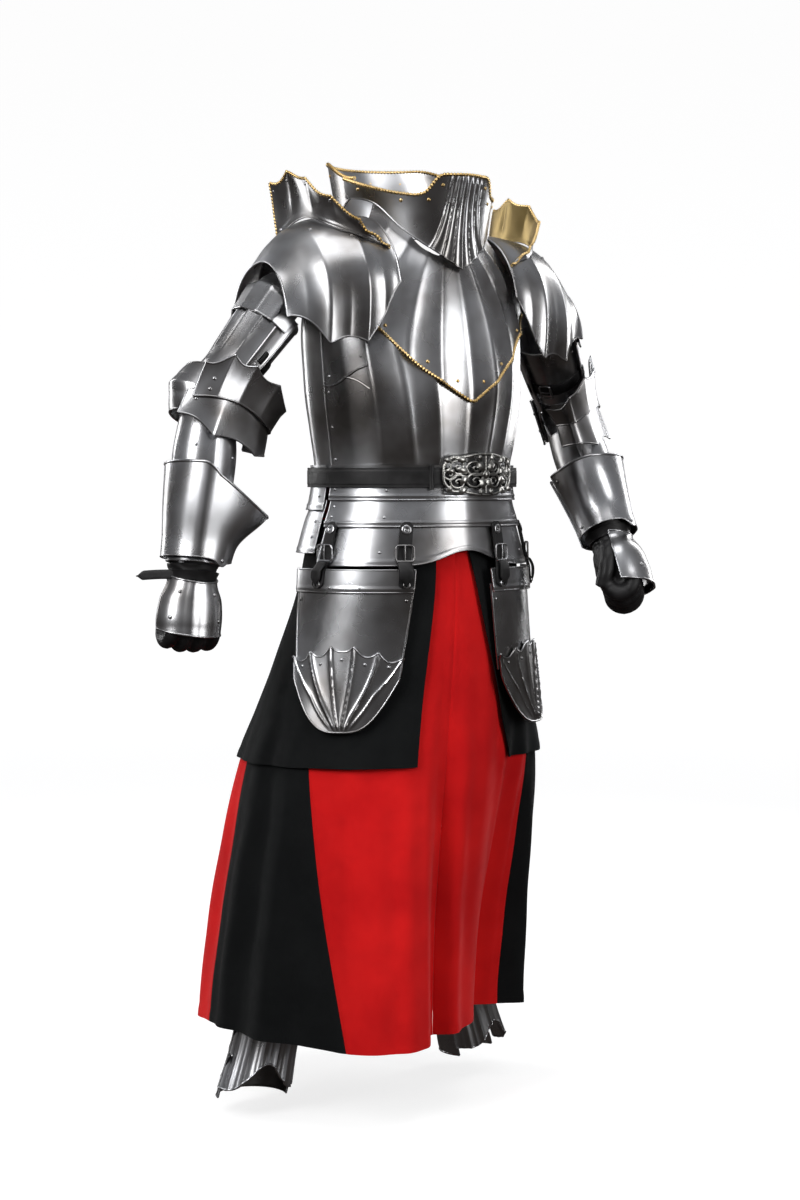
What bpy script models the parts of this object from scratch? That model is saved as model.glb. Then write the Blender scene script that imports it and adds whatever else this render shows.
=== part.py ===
"""A suit of larp plate armour with its cloth skirt, hollow, in the pose in which it is worn.

Metres, +Z up. The front of the breastplate faces -Y and the wearer's left is +X. Heights in the
tables are measured from the floor that the wearer stands on. The whole suit is then lowered by
HOLD_HEIGHT, so that the origin lies between the shoulders, where the wearer holds the suit up.
"""

import math

import bmesh
import bpy
from mathutils import Vector
from mathutils.bvhtree import BVHTree

for old in list(bpy.data.objects):
    bpy.data.objects.remove(old, do_unlink=True)

# Driving dimensions.
HOLD_HEIGHT = 1.42
STEEL_WALL = 0.0016
CLOTH_WALL = 0.0022
LEATHER_WALL = 0.003
LAYER = 0.0048
RIGHT = -1
LEFT = 1
SIDE_NAMES = {RIGHT: "right", LEFT: "left"}

# Finishes: name, colour, roughness, metallic.
STEEL = ("steel", (0.42, 0.42, 0.44), 0.25, 1.0)
BLACK_LEATHER = ("black_leather", (0.02, 0.02, 0.02), 0.45, 0.0)
BLACK_CLOTH = ("black_cloth", (0.012, 0.013, 0.014), 0.9, 0.0)
RED_CLOTH = ("red_cloth", (0.62, 0.01, 0.012), 0.85, 0.0)
PEWTER = ("pewter", (0.35, 0.35, 0.33), 0.35, 1.0)


def finish(look):
    """The Principled material of that name, made once."""
    name, colour, roughness, metallic = look
    material = bpy.data.materials.get(name)
    if material is None:
        material = bpy.data.materials.new(name)
        material.use_nodes = True
        shader = material.node_tree.nodes["Principled BSDF"]
        shader.inputs["Base Color"].default_value = (*colour, 1.0)
        shader.inputs["Roughness"].default_value = roughness
        shader.inputs["Metallic"].default_value = metallic
    return material


class Profile:
    """A short table read as smooth curves: each row is a position and the values there."""

    def __init__(self, *rows):
        self.rows = rows

    def at(self, position):
        rows = self.rows
        if position <= rows[0][0]:
            return list(rows[0][1:])
        if position >= rows[-1][0]:
            return list(rows[-1][1:])
        i = next(k for k in range(len(rows) - 1) if position <= rows[k + 1][0])
        low, high = rows[i], rows[i + 1]
        before, after = rows[max(i - 1, 0)], rows[min(i + 2, len(rows) - 1)]
        span = high[0] - low[0]
        t = (position - low[0]) / span
        values = []
        for c in range(1, len(low)):
            slope_low = (high[c] - before[c]) / (high[0] - before[0]) * span
            slope_high = (after[c] - low[c]) / (after[0] - low[0]) * span
            values.append(
                (2 * t**3 - 3 * t**2 + 1) * low[c]
                + (t**3 - 2 * t**2 + t) * slope_low
                + (3 * t**2 - 2 * t**3) * high[c]
                + (t**3 - t**2) * slope_high
            )
        return values


def mix(a, b, t):
    return a + (b - a) * t


def ramp(low, high, value):
    """0 below low, 1 above high, smooth between."""
    t = min(max((value - low) / (high - low), 0.0), 1.0)
    return t * t * (3 - 2 * t)


def spread(knots, u):
    """The value at u, from 0 to 1, along evenly spaced knots."""
    place = min(max(u, 0.0), 1.0) * (len(knots) - 1)
    i = min(int(place), len(knots) - 2)
    return mix(knots[i], knots[i + 1], place - i)


def flute(u, count, height):
    """Height of a fluted plate at u: a ridge at each end of count hollows."""
    t = (u * count) % 1.0
    return height * (2 * t - 1) ** 2


def proud(surface, lift, inside):
    """The surface moved by lift(u, v) along its own normal, away from the point inside."""
    step = 0.004
    centre = Vector(inside)

    def moved(u, v):
        here = surface(u, v)
        along = surface(min(u + step, 1), v) - surface(max(u - step, 0), v)
        across = surface(u, min(v + step, 1)) - surface(u, max(v - step, 0))
        normal = along.cross(across).normalized()
        if normal.dot(here - centre) < 0:
            normal.negate()
        return here + normal * lift(u, v)

    return moved


def plate(name, surface, columns, rows, inside, look, wall=STEEL_WALL):
    """A wall bent onto surface(u, v), u and v from 0 to 1. The surface is its face away from inside."""
    shape = bmesh.new()
    bmesh.ops.create_grid(shape, x_segments=columns, y_segments=rows, size=0.5)
    for vert in shape.verts:
        vert.co = surface(vert.co.x + 0.5, vert.co.y + 0.5)
    shape.normal_update()
    centre = Vector(inside)
    outward = sum(
        face.normal.dot((face.calc_center_median() - centre).normalized()) * face.calc_area()
        for face in shape.faces
    )
    if outward < 0:
        bmesh.ops.reverse_faces(shape, faces=shape.faces)
    made = solid(name, shape, look)
    thicken = made.modifiers.new("wall", "SOLIDIFY")
    thicken.thickness = wall
    thicken.offset = -1
    return made


def solid(name, shape, look):
    """An object of that name from a bmesh in floor heights, lowered to the suit's own origin."""
    mesh = bpy.data.meshes.new(name)
    bmesh.ops.translate(shape, verts=shape.verts, vec=(0, 0, -HOLD_HEIGHT))
    shape.to_mesh(mesh)
    shape.free()
    mesh.shade_smooth()
    mesh.set_sharp_from_angle(angle=math.radians(40))
    made = bpy.data.objects.new(name, mesh)
    bpy.context.scene.collection.objects.link(made)
    mesh.materials.append(finish(look))
    return made


# Rivets: a shank through the upper plate, seated just clear of the piece below it.
RIVET_RADIUS = 0.0028
RIVET_HEAD = 0.0010
RIVET_SEAT = 0.00035
PIVOT_REACH = 0.10
TINY_EDGE = 0.00003


def rivet(upper, lower, near, wall=STEEL_WALL, axis=None):
    """Joins a rivet to the upper piece near a point in floor heights, or on an axis through it."""
    graph = bpy.context.evaluated_depsgraph_get()
    owner = bpy.data.objects[upper]
    above = BVHTree.FromObject(owner, graph)
    below = BVHTree.FromObject(bpy.data.objects[lower], graph)
    target = Vector(near) - Vector((0, 0, HOLD_HEIGHT))
    if axis is None:
        foot = below.find_nearest(target)[0]
        for _ in range(3):
            place = above.find_nearest(foot)[0]
            foot = below.find_nearest(place)[0]
        way = (foot - place).normalized()
        place -= way * wall
    else:
        way = -axis.normalized()
        place = above.ray_cast(target - way * PIVOT_REACH, way)[0]
        foot = below.ray_cast(target - way * PIVOT_REACH, way)[0]
    start, end = place - way * RIVET_HEAD, foot - way * RIVET_SEAT
    shape = bmesh.new()
    bmesh.ops.create_cone(shape, cap_ends=True, segments=6, radius1=RIVET_RADIUS,
                          radius2=RIVET_RADIUS, depth=(end - start).length)
    turn = Vector((0, 0, 1)).rotation_difference(way).to_matrix()
    for vert in shape.verts:
        vert.co = turn @ vert.co + (start + end) / 2 + Vector((0, 0, HOLD_HEIGHT))
    shank = solid("shank", shape, STEEL)
    join = owner.modifiers.new("rivet", "BOOLEAN")
    join.operation = "UNION"
    join.solver = "MANIFOLD"
    join.object = shank
    bpy.context.view_layer.update()
    whole = bpy.data.meshes.new_from_object(owner.evaluated_get(bpy.context.evaluated_depsgraph_get()))
    clean = bmesh.new()
    clean.from_mesh(whole)
    bmesh.ops.dissolve_degenerate(clean, dist=TINY_EDGE, edges=clean.edges[:])
    clean.to_mesh(whole)
    clean.free()
    owner.modifiers.clear()
    owner.data = whole
    bpy.data.objects.remove(shank, do_unlink=True)


def ring(angle, side, front, back, square=1.0):
    """x and y of a rounded section at that angle in degrees, 0 to the front and 90 to +x."""
    s, c = math.sin(math.radians(angle)), math.cos(math.radians(angle))
    x = math.copysign(abs(s) ** square, s) * side
    y = -math.copysign(abs(c) ** square, c) * (front if c > 0 else back)
    return x, y


# Torso. Height, half width, depth in front, depth behind.
TORSO = Profile(
    (0.860, 0.216, 0.176, 0.166),
    (0.912, 0.206, 0.166, 0.156),
    (0.975, 0.189, 0.160, 0.143),
    (1.008, 0.178, 0.156, 0.131),
    (1.050, 0.173, 0.153, 0.124),
    (1.125, 0.181, 0.163, 0.136),
    (1.170, 0.187, 0.167, 0.144),
    (1.208, 0.190, 0.165, 0.148),
    (1.300, 0.194, 0.150, 0.150),
    (1.383, 0.176, 0.128, 0.142),
    (1.425, 0.143, 0.114, 0.128),
    (1.460, 0.113, 0.104, 0.114),
    (1.500, 0.094, 0.096, 0.104),
)
TORSO_SQUARE = 0.92
KEEL = 0.007
KEEL_WIDTH = 28.0
TORSO_CENTRE = (0, 0, 1.2)


def torso(angle, height):
    """A point on the torso's form, with a keel down the middle of the front."""
    side, front, back = TORSO.at(height)
    wrapped = abs((angle + 180) % 360 - 180)
    front += KEEL * max(0.0, 1 - wrapped / KEEL_WIDTH)
    x, y = ring(angle, side, front, back, TORSO_SQUARE)
    return Vector((x, y, height))


# Lower breast. Each ridge starts at an angle on the belt line and fans out towards the top.
PLACKART_FOOT = (-84, -66, -46, -27, -13, 0, 13, 27, 46, 66, 84)
PLACKART_HEAD = (-84, -70, -54, -37, -18, 0, 18, 37, 54, 70, 84)
PLACKART_LOW = 1.040
PLACKART_FLUTE = 0.0028
PLACKART_ARMPIT = 1.285
# Upper breast: angle from the keel, height of its lower edge and of its neck edge.
BREAST_EDGES = Profile(
    (0, 1.167, 1.400),
    (15, 1.201, 1.410),
    (28, 1.233, 1.435),
    (42, 1.278, 1.468),
    (60, 1.322, 1.488),
    (84, 1.345, 1.494),
)
BREAST_FOOT = (-70, -58, -44, -30, -15, 0, 15, 30, 44, 58, 70)
BREAST_NECK = (-72, -52, -36, -23, -11, 0, 11, 23, 36, 52, 72)
BREAST_FLUTE = 0.0035
BREAST_OVERLAP = 0.035


def plackart():
    count = len(PLACKART_FOOT) - 1

    def at(u, v):
        angle = mix(spread(PLACKART_FOOT, u), spread(PLACKART_HEAD, u), v)
        high = BREAST_EDGES.at(abs(angle))[0] + BREAST_OVERLAP
        high = min(high, mix(1.335, PLACKART_ARMPIT, ramp(56, 84, abs(angle))))
        return torso(angle, mix(PLACKART_LOW, high, v))

    def lift(u, v):
        return flute(u, count, PLACKART_FLUTE) * ramp(0.02, 0.2, v) - LAYER

    plate("plackart", proud(at, lift, TORSO_CENTRE), count * 2, 4, TORSO_CENTRE, STEEL)


def breast_upper():
    count = len(BREAST_NECK) - 1

    def at(u, v):
        foot, neck = spread(BREAST_FOOT, u), spread(BREAST_NECK, u)
        low = BREAST_EDGES.at(abs(foot))[0]
        high = BREAST_EDGES.at(abs(neck))[1]
        return torso(mix(foot, neck, v**1.4), mix(low, high, v))

    def lift(u, v):
        return flute(u, count, BREAST_FLUTE) * (1 - 0.6 * v) + 0.0012

    plate("breast_upper", proud(at, lift, (0, 0, 1.28)), count * 2, 5, (0, 0, 1.28), STEEL)


# Backplate, under the ends of the breastplates.
BACK_FROM, BACK_TO = 79, 281
BACK_LOW = 1.040
BACK_HIGH = Profile((79, 1.300), (100, 1.330), (125, 1.41), (150, 1.455), (180, 1.465),
                    (210, 1.455), (235, 1.41), (260, 1.330), (281, 1.300))
BACK_FLUTE = 0.002
BACK_FLUTES = 8


def backplate():
    def at(u, v):
        angle = mix(BACK_FROM, BACK_TO, u)
        return torso(angle, mix(BACK_LOW, BACK_HIGH.at(angle)[0], v))

    def lift(u, v):
        edge = min(u, 1 - u)
        return flute(u, BACK_FLUTES, BACK_FLUTE) * ramp(0.02, 0.2, v) - mix(2.8 * LAYER, LAYER, ramp(0, 0.12, edge))

    plate("backplate", proud(at, lift, TORSO_CENTRE), BACK_FLUTES * 2, 5, TORSO_CENTRE, STEEL)


# Fauld hoops: top height, bottom height, layers in from the form at the top and at the bottom.
FAULD_FRONT = ((1.066, 1.010, -0.25, 0.0), (1.022, 0.968, 1.0, 0.9), (0.982, 0.906, 2.0, 1.2))
FAULD_BACK = ((1.066, 0.994, -0.35, 0.0), (1.010, 0.925, 1.0, 0.9))
FAULD_FRONT_SPAN = 83
FAULD_BACK_SPAN = (87, 273)
FAULD_ARCH = 0.024
FAULD_ARCH_WIDTH = 15.0


def fauld():
    for i, (high, low, start, end) in enumerate(FAULD_FRONT):
        arch = FAULD_ARCH if i == 2 else 0.0

        def front(u, v, high=high, low=low, arch=arch):
            angle = mix(-FAULD_FRONT_SPAN, FAULD_FRONT_SPAN, u)
            edge = low + arch * math.exp(-((angle / FAULD_ARCH_WIDTH) ** 2))
            return torso(angle, mix(high, edge, v))

        def lift(u, v, start=start, end=end):
            return -LAYER * mix(start, end, v)

        rows = 2 if i == 0 else 1
        plate(f"fauld_front_{i + 1}", proud(front, lift, TORSO_CENTRE), 18, rows, TORSO_CENTRE, STEEL)
    for i, (high, low, start, end) in enumerate(FAULD_BACK):

        def back(u, v, high=high, low=low):
            angle = mix(*FAULD_BACK_SPAN, u)
            return torso(angle, mix(high, low, v))

        def lift(u, v, start=start, end=end):
            return -LAYER * mix(start, end, v)

        rows = 2 if i == 0 else 1
        plate(f"culet_{i + 1}", proud(back, lift, TORSO_CENTRE), 16, rows, TORSO_CENTRE, STEEL)


# Belt, round the waist over the top hoops, and its cast plaque.
BELT_LOW, BELT_HIGH = 1.030, 1.062
BELT_GAP = 0.0027
BUCKLE_FROM, BUCKLE_TO = -15, 32
BUCKLE_LOW, BUCKLE_HIGH = 1.016, 1.086
BUCKLE_WALL = 0.005


def belt():
    columns = 40
    shape = bmesh.new()
    loops = []
    for k in range(columns):
        angle = 360 * k / columns
        for_this = []
        for out, height in ((BELT_GAP, BELT_LOW), (BELT_GAP + LEATHER_WALL, BELT_LOW),
                            (BELT_GAP + LEATHER_WALL, BELT_HIGH), (BELT_GAP, BELT_HIGH)):
            waist = torso(angle, BELT_LOW - 0.004)
            flat = Vector((waist.x, waist.y, 0))
            flat += flat.normalized() * out
            for_this.append(shape.verts.new((flat.x, flat.y, height)))
        loops.append(for_this)
    for k in range(columns):
        here, there = loops[k], loops[(k + 1) % columns]
        for j in range(4):
            shape.faces.new((here[j], here[(j + 1) % 4], there[(j + 1) % 4], there[j]))
    bmesh.ops.recalc_face_normals(shape, faces=shape.faces)
    solid("belt", shape, BLACK_LEATHER)

    def at(u, v):
        point = torso(mix(BUCKLE_FROM, BUCKLE_TO, u), BELT_LOW - 0.004)
        flat = Vector((point.x, point.y, 0))
        flat += flat.normalized() * (BELT_GAP + LEATHER_WALL + 0.0014 + BUCKLE_WALL)
        return Vector((flat.x, flat.y, mix(BUCKLE_LOW, BUCKLE_HIGH, v)))

    plate("belt_buckle", at, 8, 5, TORSO_CENTRE, PEWTER, wall=BUCKLE_WALL)


# Collar. Angle from the front, height of the lower edge and of the rim, front plate.
COLLAR_EDGES = Profile(
    (0, 1.383, 1.534),
    (12, 1.397, 1.533),
    (22, 1.411, 1.530),
    (32, 1.424, 1.504),
    (48, 1.450, 1.504),
    (68, 1.492, 1.516),
    (92, 1.505, 1.535),
)
COLLAR_FORM = Profile(
    (1.380, 0.105, 0.146, 0.120),
    (1.430, 0.112, 0.146, 0.122),
    (1.480, 0.120, 0.152, 0.126),
    (1.530, 0.128, 0.165, 0.136),
    (1.575, 0.127, 0.176, 0.158),
)
COLLAR_FLUTE = 0.0025
COLLAR_CENTRE = (0, 0, 1.45)


def collar():
    def front(u, v):
        angle = mix(-92, 92, u)
        low, high = COLLAR_EDGES.at(abs(angle))
        height = mix(low, high, v)
        side, depth, back = COLLAR_FORM.at(height)
        side += 0.004 * ramp(1.50, 1.38, height)
        x, y = ring(angle, side, depth, back)
        return Vector((x, y, height))

    def lift(u, v):
        return flute(u, 12, COLLAR_FLUTE) * (1 - abs(2 * u - 1))

    plate("collar_front", proud(front, lift, COLLAR_CENTRE), 18, 3, COLLAR_CENTRE, STEEL)

    def back(u, v):
        angle = mix(84, 276, u)
        middle = 1 - abs(2 * u - 1)
        low = mix(1.506, 1.455, ramp(0, 0.5, middle))
        height = mix(low, mix(1.535, 1.572, ramp(0, 0.5, middle)), v)
        side, depth, rear = COLLAR_FORM.at(height)
        x, y = ring(angle, side - 0.0045, depth - 0.0045, rear + 0.012)
        return Vector((x, y, height))

    plate("collar_back", back, 12, 2, COLLAR_CENTRE, STEEL)


# Shoulders: middle of each, then rows outwards: how far out, height of the middle, depth, rise,
# and the angle down in front and behind.
SHOULDER = {RIGHT: Vector((-0.185, 0.0, 0)), LEFT: Vector((0.203, 0.012, -0.016))}
PAULDRON = Profile(
    (-0.072, 1.335, 0.132, 0.139, 80, 84),
    (-0.030, 1.335, 0.136, 0.137, 116, 104),
    (0.030, 1.320, 0.120, 0.140, 118, 104),
    (0.075, 1.300, 0.096, 0.130, 100, 98),
    (0.105, 1.280, 0.080, 0.112, 80, 84),
)
PAULDRON_FROM, PAULDRON_TO = -0.072, 0.105
PAULDRON_FLUTE = 0.003
PAULDRON_SCALLOP = 6.0
# Degrees that the outer end of each pauldron stops short behind, clear of the arm held there.
PAULDRON_REAR_CUT = {RIGHT: 0.0, LEFT: 26.0}


def pauldron_point(side, out, angle, lift=0.0):
    """A point on the shoulder's form; the angle is 0 on top and runs to the front."""
    height, depth, rise = PAULDRON.at(out)[:3]
    turn = math.radians(angle)
    across = math.sin(turn)
    if abs(angle) > 90:
        across = math.copysign(1 - 0.35 * (1 - abs(across)), across)
    local = Vector((side * out, -(depth + lift) * across, height + (rise + lift) * math.cos(turn)))
    return local + SHOULDER[side]


def pauldron(side):
    def at(u, v):
        out = mix(PAULDRON_FROM, PAULDRON_TO, u)
        front, rear = PAULDRON.at(out)[3:]
        rear -= PAULDRON_REAR_CUT[side] * ramp(0.0, 0.07, out)
        cut = PAULDRON_SCALLOP * math.sin(math.pi * ((u * 3) % 1.0))
        return pauldron_point(side, out, mix(front - cut, -rear + cut, v))

    def lift(u, v):
        edge = abs(2 * v - 1)
        return flute(u, 3, PAULDRON_FLUTE) * ramp(0.2, 0.8, edge)

    inside = SHOULDER[side] + Vector((0, 0, 1.33))
    plate(f"pauldron_{SIDE_NAMES[side]}", proud(at, lift, inside), 9, 10, inside, STEEL)


# Standing shoulder guards: along each, how far out, how far back, height of the rim.
GUARD = Profile(
    (0.00, -0.066, -0.112, 1.412),
    (0.25, -0.020, -0.098, 1.468),
    (0.50, 0.020, -0.052, 1.512),
    (0.75, 0.022, 0.020, 1.545),
    (1.00, 0.026, 0.080, 1.530),
)
GUARD_POINTS = 5
GUARD_CUT = 0.010
GUARD_LEAN = 0.012


def shoulder_guard(side):
    inside = SHOULDER[side] + Vector((-side * 0.2, 0, 1.45))

    def at(u, v):
        out, back, rim = GUARD.at(u)
        height, depth, rise = PAULDRON.at(out)[:3]
        foot = height + rise * math.sqrt(max(0.0, 1 - (back / depth) ** 2)) + PAULDRON_FLUTE + 0.0016
        rim -= GUARD_CUT * math.sin(math.pi * ((u * GUARD_POINTS) % 1.0))
        base = SHOULDER[side] + Vector((side * (out + GUARD_LEAN * v * v), back, 0))
        return base + Vector((0, 0, mix(foot, max(rim, foot + 0.012), v)))

    def lift(u, v):
        return flute(u, GUARD_POINTS, 0.003) * v

    plate(f"shoulder_guard_{SIDE_NAMES[side]}", proud(at, lift, inside), 10, 2, inside, STEEL)


# Arms: shoulder, elbow, wrist and knuckles, as held in the pose.
ARM = {
    RIGHT: (Vector((-0.235, 0.0, 1.35)), Vector((-0.388, 0.0, 1.17)),
            Vector((-0.428, -0.017, 0.894)), Vector((-0.440, -0.022, 0.784))),
    LEFT: (Vector((0.262, 0.0, 1.34)), Vector((0.405, 0.092, 1.160)),
           Vector((0.386, -0.050, 0.945)), Vector((0.384, -0.110, 0.815))),
}


class Limb:
    """Points round an axis: angle 0 lies on the outside of the bend, 90 on the hinge's outer side."""

    def __init__(self, start, end, hinge, bend):
        self.start = start
        self.axis = (end - start).normalized()
        self.length = (end - start).length
        self.hinge = hinge
        self.bend = (bend - self.axis * bend.dot(self.axis)).normalized()

    def at(self, angle, along, outer, inner, wide):
        """outer, inner and wide are the reach at angle 0, 180 and 90."""
        s, c = math.sin(math.radians(angle)), math.cos(math.radians(angle))
        reach = outer if c > 0 else inner
        return (self.start + self.axis * along - self.bend * (c * reach) + self.hinge * (s * wide))


def arm_limbs(side):
    """The upper arm, the elbow and the forearm of that side."""
    shoulder, elbow, wrist, knuckles = ARM[side]
    upper, lower = (elbow - shoulder).normalized(), (wrist - elbow).normalized()
    hinge = upper.cross(lower).normalized() * (1 if side == RIGHT else -1)
    bend = (lower - upper).normalized()
    across = (upper + lower).normalized()
    return (
        Limb(elbow, elbow - upper, hinge, bend),
        Limb(elbow, elbow + across, hinge, bend),
        Limb(elbow, wrist, hinge, bend),
    )


# Upper arm, measured up from the elbow: distance, reach outside the bend, inside it, and sideways.
UPPER_ARM = Profile(
    (0.030, 0.0440, 0.0450, 0.0450),
    (0.090, 0.0445, 0.0500, 0.0500),
    (0.160, 0.0500, 0.0540, 0.0540),
    (0.230, 0.0560, 0.0580, 0.0580),
)
# How much the shoulder lame widens under the shoulder plate that it hangs from.
LAME_FLARE = {RIGHT: 0.011, LEFT: 0.003}
# Reach of the pivot ears of the upper arm plates.
EAR_WIDE = 0.0490
EAR = 0.014
REREBRACE_SPAN = 120
INNER_SPAN = 66


def upper_arm(side):
    name = SIDE_NAMES[side]
    limb = arm_limbs(side)[0]
    middle = limb.start + limb.axis * 0.12

    def rerebrace(u, v):
        angle = mix(-REREBRACE_SPAN, REREBRACE_SPAN, u)
        ear = math.exp(-(((abs(angle) - 90) / 13) ** 2))
        along = mix(mix(0.036, -EAR, ear), 0.178, v)
        outer, inner, wide = UPPER_ARM.at(along)
        return limb.at(angle, along, outer, inner, mix(wide, EAR_WIDE, ramp(0.05, 0.0, along)))

    def rerebrace_lift(u, v):
        return flute(u, 8, 0.002) * ramp(0, 0.3, v) * ramp(0.0, 0.4, v)

    plate(f"rerebrace_{name}", proud(rerebrace, rerebrace_lift, middle), 16, 2, middle, STEEL)

    def inner_plate(u, v):
        angle = mix(180 - INNER_SPAN, 180 + INNER_SPAN, u)
        along = mix(0.058, 0.180, v)
        outer, inner, wide = UPPER_ARM.at(along)
        return limb.at(angle, along, outer - 0.005, inner - 0.005, wide - 0.005)

    plate(f"rerebrace_inner_{name}", inner_plate, 6, 2, middle, STEEL)

    def lame(u, v):
        angle = mix(-108, 108, u)
        cut = 0.010 * math.sin(math.pi * ((u * 4) % 1.0)) * (1 - v)
        along = mix(0.138 + cut, 0.196, v)
        outer, inner, wide = UPPER_ARM.at(along)
        lift = 0.0055 + LAME_FLARE[side] * v
        return limb.at(angle, along, outer + lift, inner + lift, wide + lift)

    plate(f"shoulder_lame_{name}", lame, 12, 1, middle, STEEL)


# Elbow: the cop round the point, the wing round the bend, and a lower lame.
COP_REACH = 0.064
COP_HALF = 0.040
COP_WIDE = 0.0545
# Round the wing: angle, reach along the upper edge, reach along the lower edge, upper and lower place.
WING = Profile(
    (48, 0.0660, 0.0660, -0.036, 0.020),
    (75, 0.070, 0.068, -0.062, 0.010),
    (105, 0.079, 0.072, -0.064, 0.002),
    (130, 0.097, 0.088, -0.062, 0.000),
    (155, 0.118, 0.108, -0.054, 0.004),
    (180, 0.124, 0.116, -0.034, 0.008),
    (205, 0.106, 0.100, -0.028, 0.006),
)
LAME = Profile(
    (38, 0.0610, 0.0600, 0.010, 0.052),
    (75, 0.064, 0.066, -0.004, 0.064),
    (105, 0.068, 0.078, -0.010, 0.066),
    (140, 0.084, 0.102, -0.012, 0.060),
    (180, 0.108, 0.122, -0.008, 0.054),
    (205, 0.090, 0.104, -0.008, 0.044),
)


# How much further the wing stands off inside the bend of the more bent arm.
ELBOW_ROOM = {RIGHT: 0.0, LEFT: 0.022}
# How much higher the outer point of the wing stands.
WING_RISE = {RIGHT: 0.0, LEFT: 0.020}


def couter(side):
    name = SIDE_NAMES[side]
    limb = arm_limbs(side)[1]

    def cop(u, v):
        angle = mix(-98, 98, u)
        along = mix(-COP_HALF, COP_HALF, v)
        reach = math.sqrt(COP_REACH**2 - along**2)
        keel = 0.004 * max(0.0, 1 - abs(2 * v - 1) * 2.5)
        return limb.at(angle, along, reach + keel, reach, COP_WIDE)

    plate(f"couter_cop_{name}", cop, 10, 5, limb.start, STEEL)

    def wing_at(table, u, v, cuts, depth):
        angle = mix(table.rows[0][0], table.rows[-1][0], u)
        top, foot, start, end = table.at(angle)
        cut = depth * math.sin(math.pi * ((u * cuts) % 1.0))
        if depth > 0:
            start += cut
        else:
            end += cut
        if table is WING:
            start -= WING_RISE[side] * ramp(22, 4, abs(angle - 79))
        reach = mix(top, foot, v**0.6)
        wide = mix(COP_WIDE, 0.062, 0.9) if table is WING else COP_WIDE + 0.0035
        flare = (1 - v) ** 2 * 0.010 if table is WING else 0.0
        s, c = math.sin(math.radians(angle)), math.cos(math.radians(angle))
        inner = reach + ELBOW_ROOM[side] * ramp(0, 0.6, -c)
        return (limb.start + limb.axis * mix(start, end, v) - limb.bend * (c * (inner if c < 0 else 0.066))
                + limb.hinge * (s * (wide + flare)))

    inside = limb.start + limb.bend * 0.03

    def wing(u, v):
        return wing_at(WING, u, v, 5, 0.010)

    def wing_lift(u, v):
        return flute(u, 5, 0.0035) * (1 - v)

    plate(f"couter_wing_{name}", proud(wing, wing_lift, inside), 15, 2, inside, STEEL)

    def lame(u, v):
        return wing_at(LAME, u, v, 3, -0.010)

    plate(f"couter_lame_{name}", lame, 12, 2, inside, STEEL)


# Forearm, measured down from the elbow: distance, reach outside the bend, inside it, and sideways.
FOREARM = Profile(
    (0.030, 0.0430, 0.0450, 0.0440),
    (0.090, 0.0490, 0.0530, 0.0480),
    (0.160, 0.0460, 0.0500, 0.0450),
    (0.230, 0.0405, 0.0430, 0.0412),
    (0.262, 0.0432, 0.0450, 0.0432),
)
# How far the forearm plate stops short of the wrist, at the glove.
VAMBRACE_END = {RIGHT: 0.0187, LEFT: 0.0233}
# Gauntlet cuff, from its upper edge to the wrist. Its upper edge drops away towards the bend.
CUFF = {
    RIGHT: Profile((0.108, 0.057, 0.118, 0.072), (0.170, 0.056, 0.122, 0.064),
                   (0.225, 0.053, 0.072, 0.056), (0.260, 0.053, 0.060, 0.054)),
    LEFT: Profile((0.112, 0.062, 0.090, 0.070), (0.160, 0.058, 0.082, 0.062),
                  (0.220, 0.053, 0.060, 0.054), (0.262, 0.052, 0.056, 0.052)),
}
CUFF_DROP = {RIGHT: 0.068, LEFT: 0.030}
CUFF_SPAN = 160


def forearm(side):
    name = SIDE_NAMES[side]
    limb = arm_limbs(side)[2]
    middle = limb.start + limb.axis * 0.14
    bottom = limb.length - VAMBRACE_END[side]

    def vambrace(u, v):
        angle = 360 * u + 180
        turn = math.cos(math.radians(angle))
        ear = math.exp(-(((abs((angle % 360) - 180) - 90) / 15) ** 2))
        along = mix(mix(0.043 - 0.013 * turn, -EAR, ear), bottom, v)
        return limb.at(angle, along, *FOREARM.at(along))

    shape = bmesh.new()
    columns, rows = 16, 3
    grid = [[shape.verts.new(vambrace(i / columns, j / rows)) for i in range(columns)] for j in range(rows + 1)]
    for j in range(rows):
        for i in range(columns):
            k = (i + 1) % columns
            shape.faces.new((grid[j][i], grid[j][k], grid[j + 1][k], grid[j + 1][i]))
    bmesh.ops.recalc_face_normals(shape, faces=shape.faces)
    if sum(f.normal.dot(f.calc_center_median() - middle) for f in shape.faces) < 0:
        bmesh.ops.reverse_faces(shape, faces=shape.faces)
    made = solid(f"vambrace_{name}", shape, STEEL)
    thicken = made.modifiers.new("wall", "SOLIDIFY")
    thicken.thickness = STEEL_WALL
    thicken.offset = -1

    def cuff(u, v):
        angle = mix(90 - CUFF_SPAN, 90 + CUFF_SPAN, u)
        table = CUFF[side]
        inward = ramp(-0.5, 1.0, -math.cos(math.radians(angle)))
        along = mix(table.rows[0][0] + CUFF_DROP[side] * inward, table.rows[-1][0], v)
        return limb.at(angle, along, *table.at(along))

    plate(f"gauntlet_cuff_{name}", cuff, 14, 3, middle, STEEL)


# Hand: the leather glove closed to a fist, and the plate over the back of it.
# Distance from the wrist, reach towards the back of the arm, towards the palm, and sideways.
FIST = Profile(
    (-0.016, 0.0450, 0.0460, 0.0450),
    (0.010, 0.0360, 0.0350, 0.0340),
    (0.040, 0.0460, 0.0450, 0.0370),
    (0.080, 0.0500, 0.0470, 0.0400),
    (0.106, 0.0400, 0.0400, 0.0330),
    (0.120, 0.0140, 0.0140, 0.0120),
)
FIST_END = 0.120
HAND_PLATE_FROM, HAND_PLATE_TO = 0.004, 0.088
HAND_PLATE_SPAN = 88
HAND_PLATE_RISE = 0.0052


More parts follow.
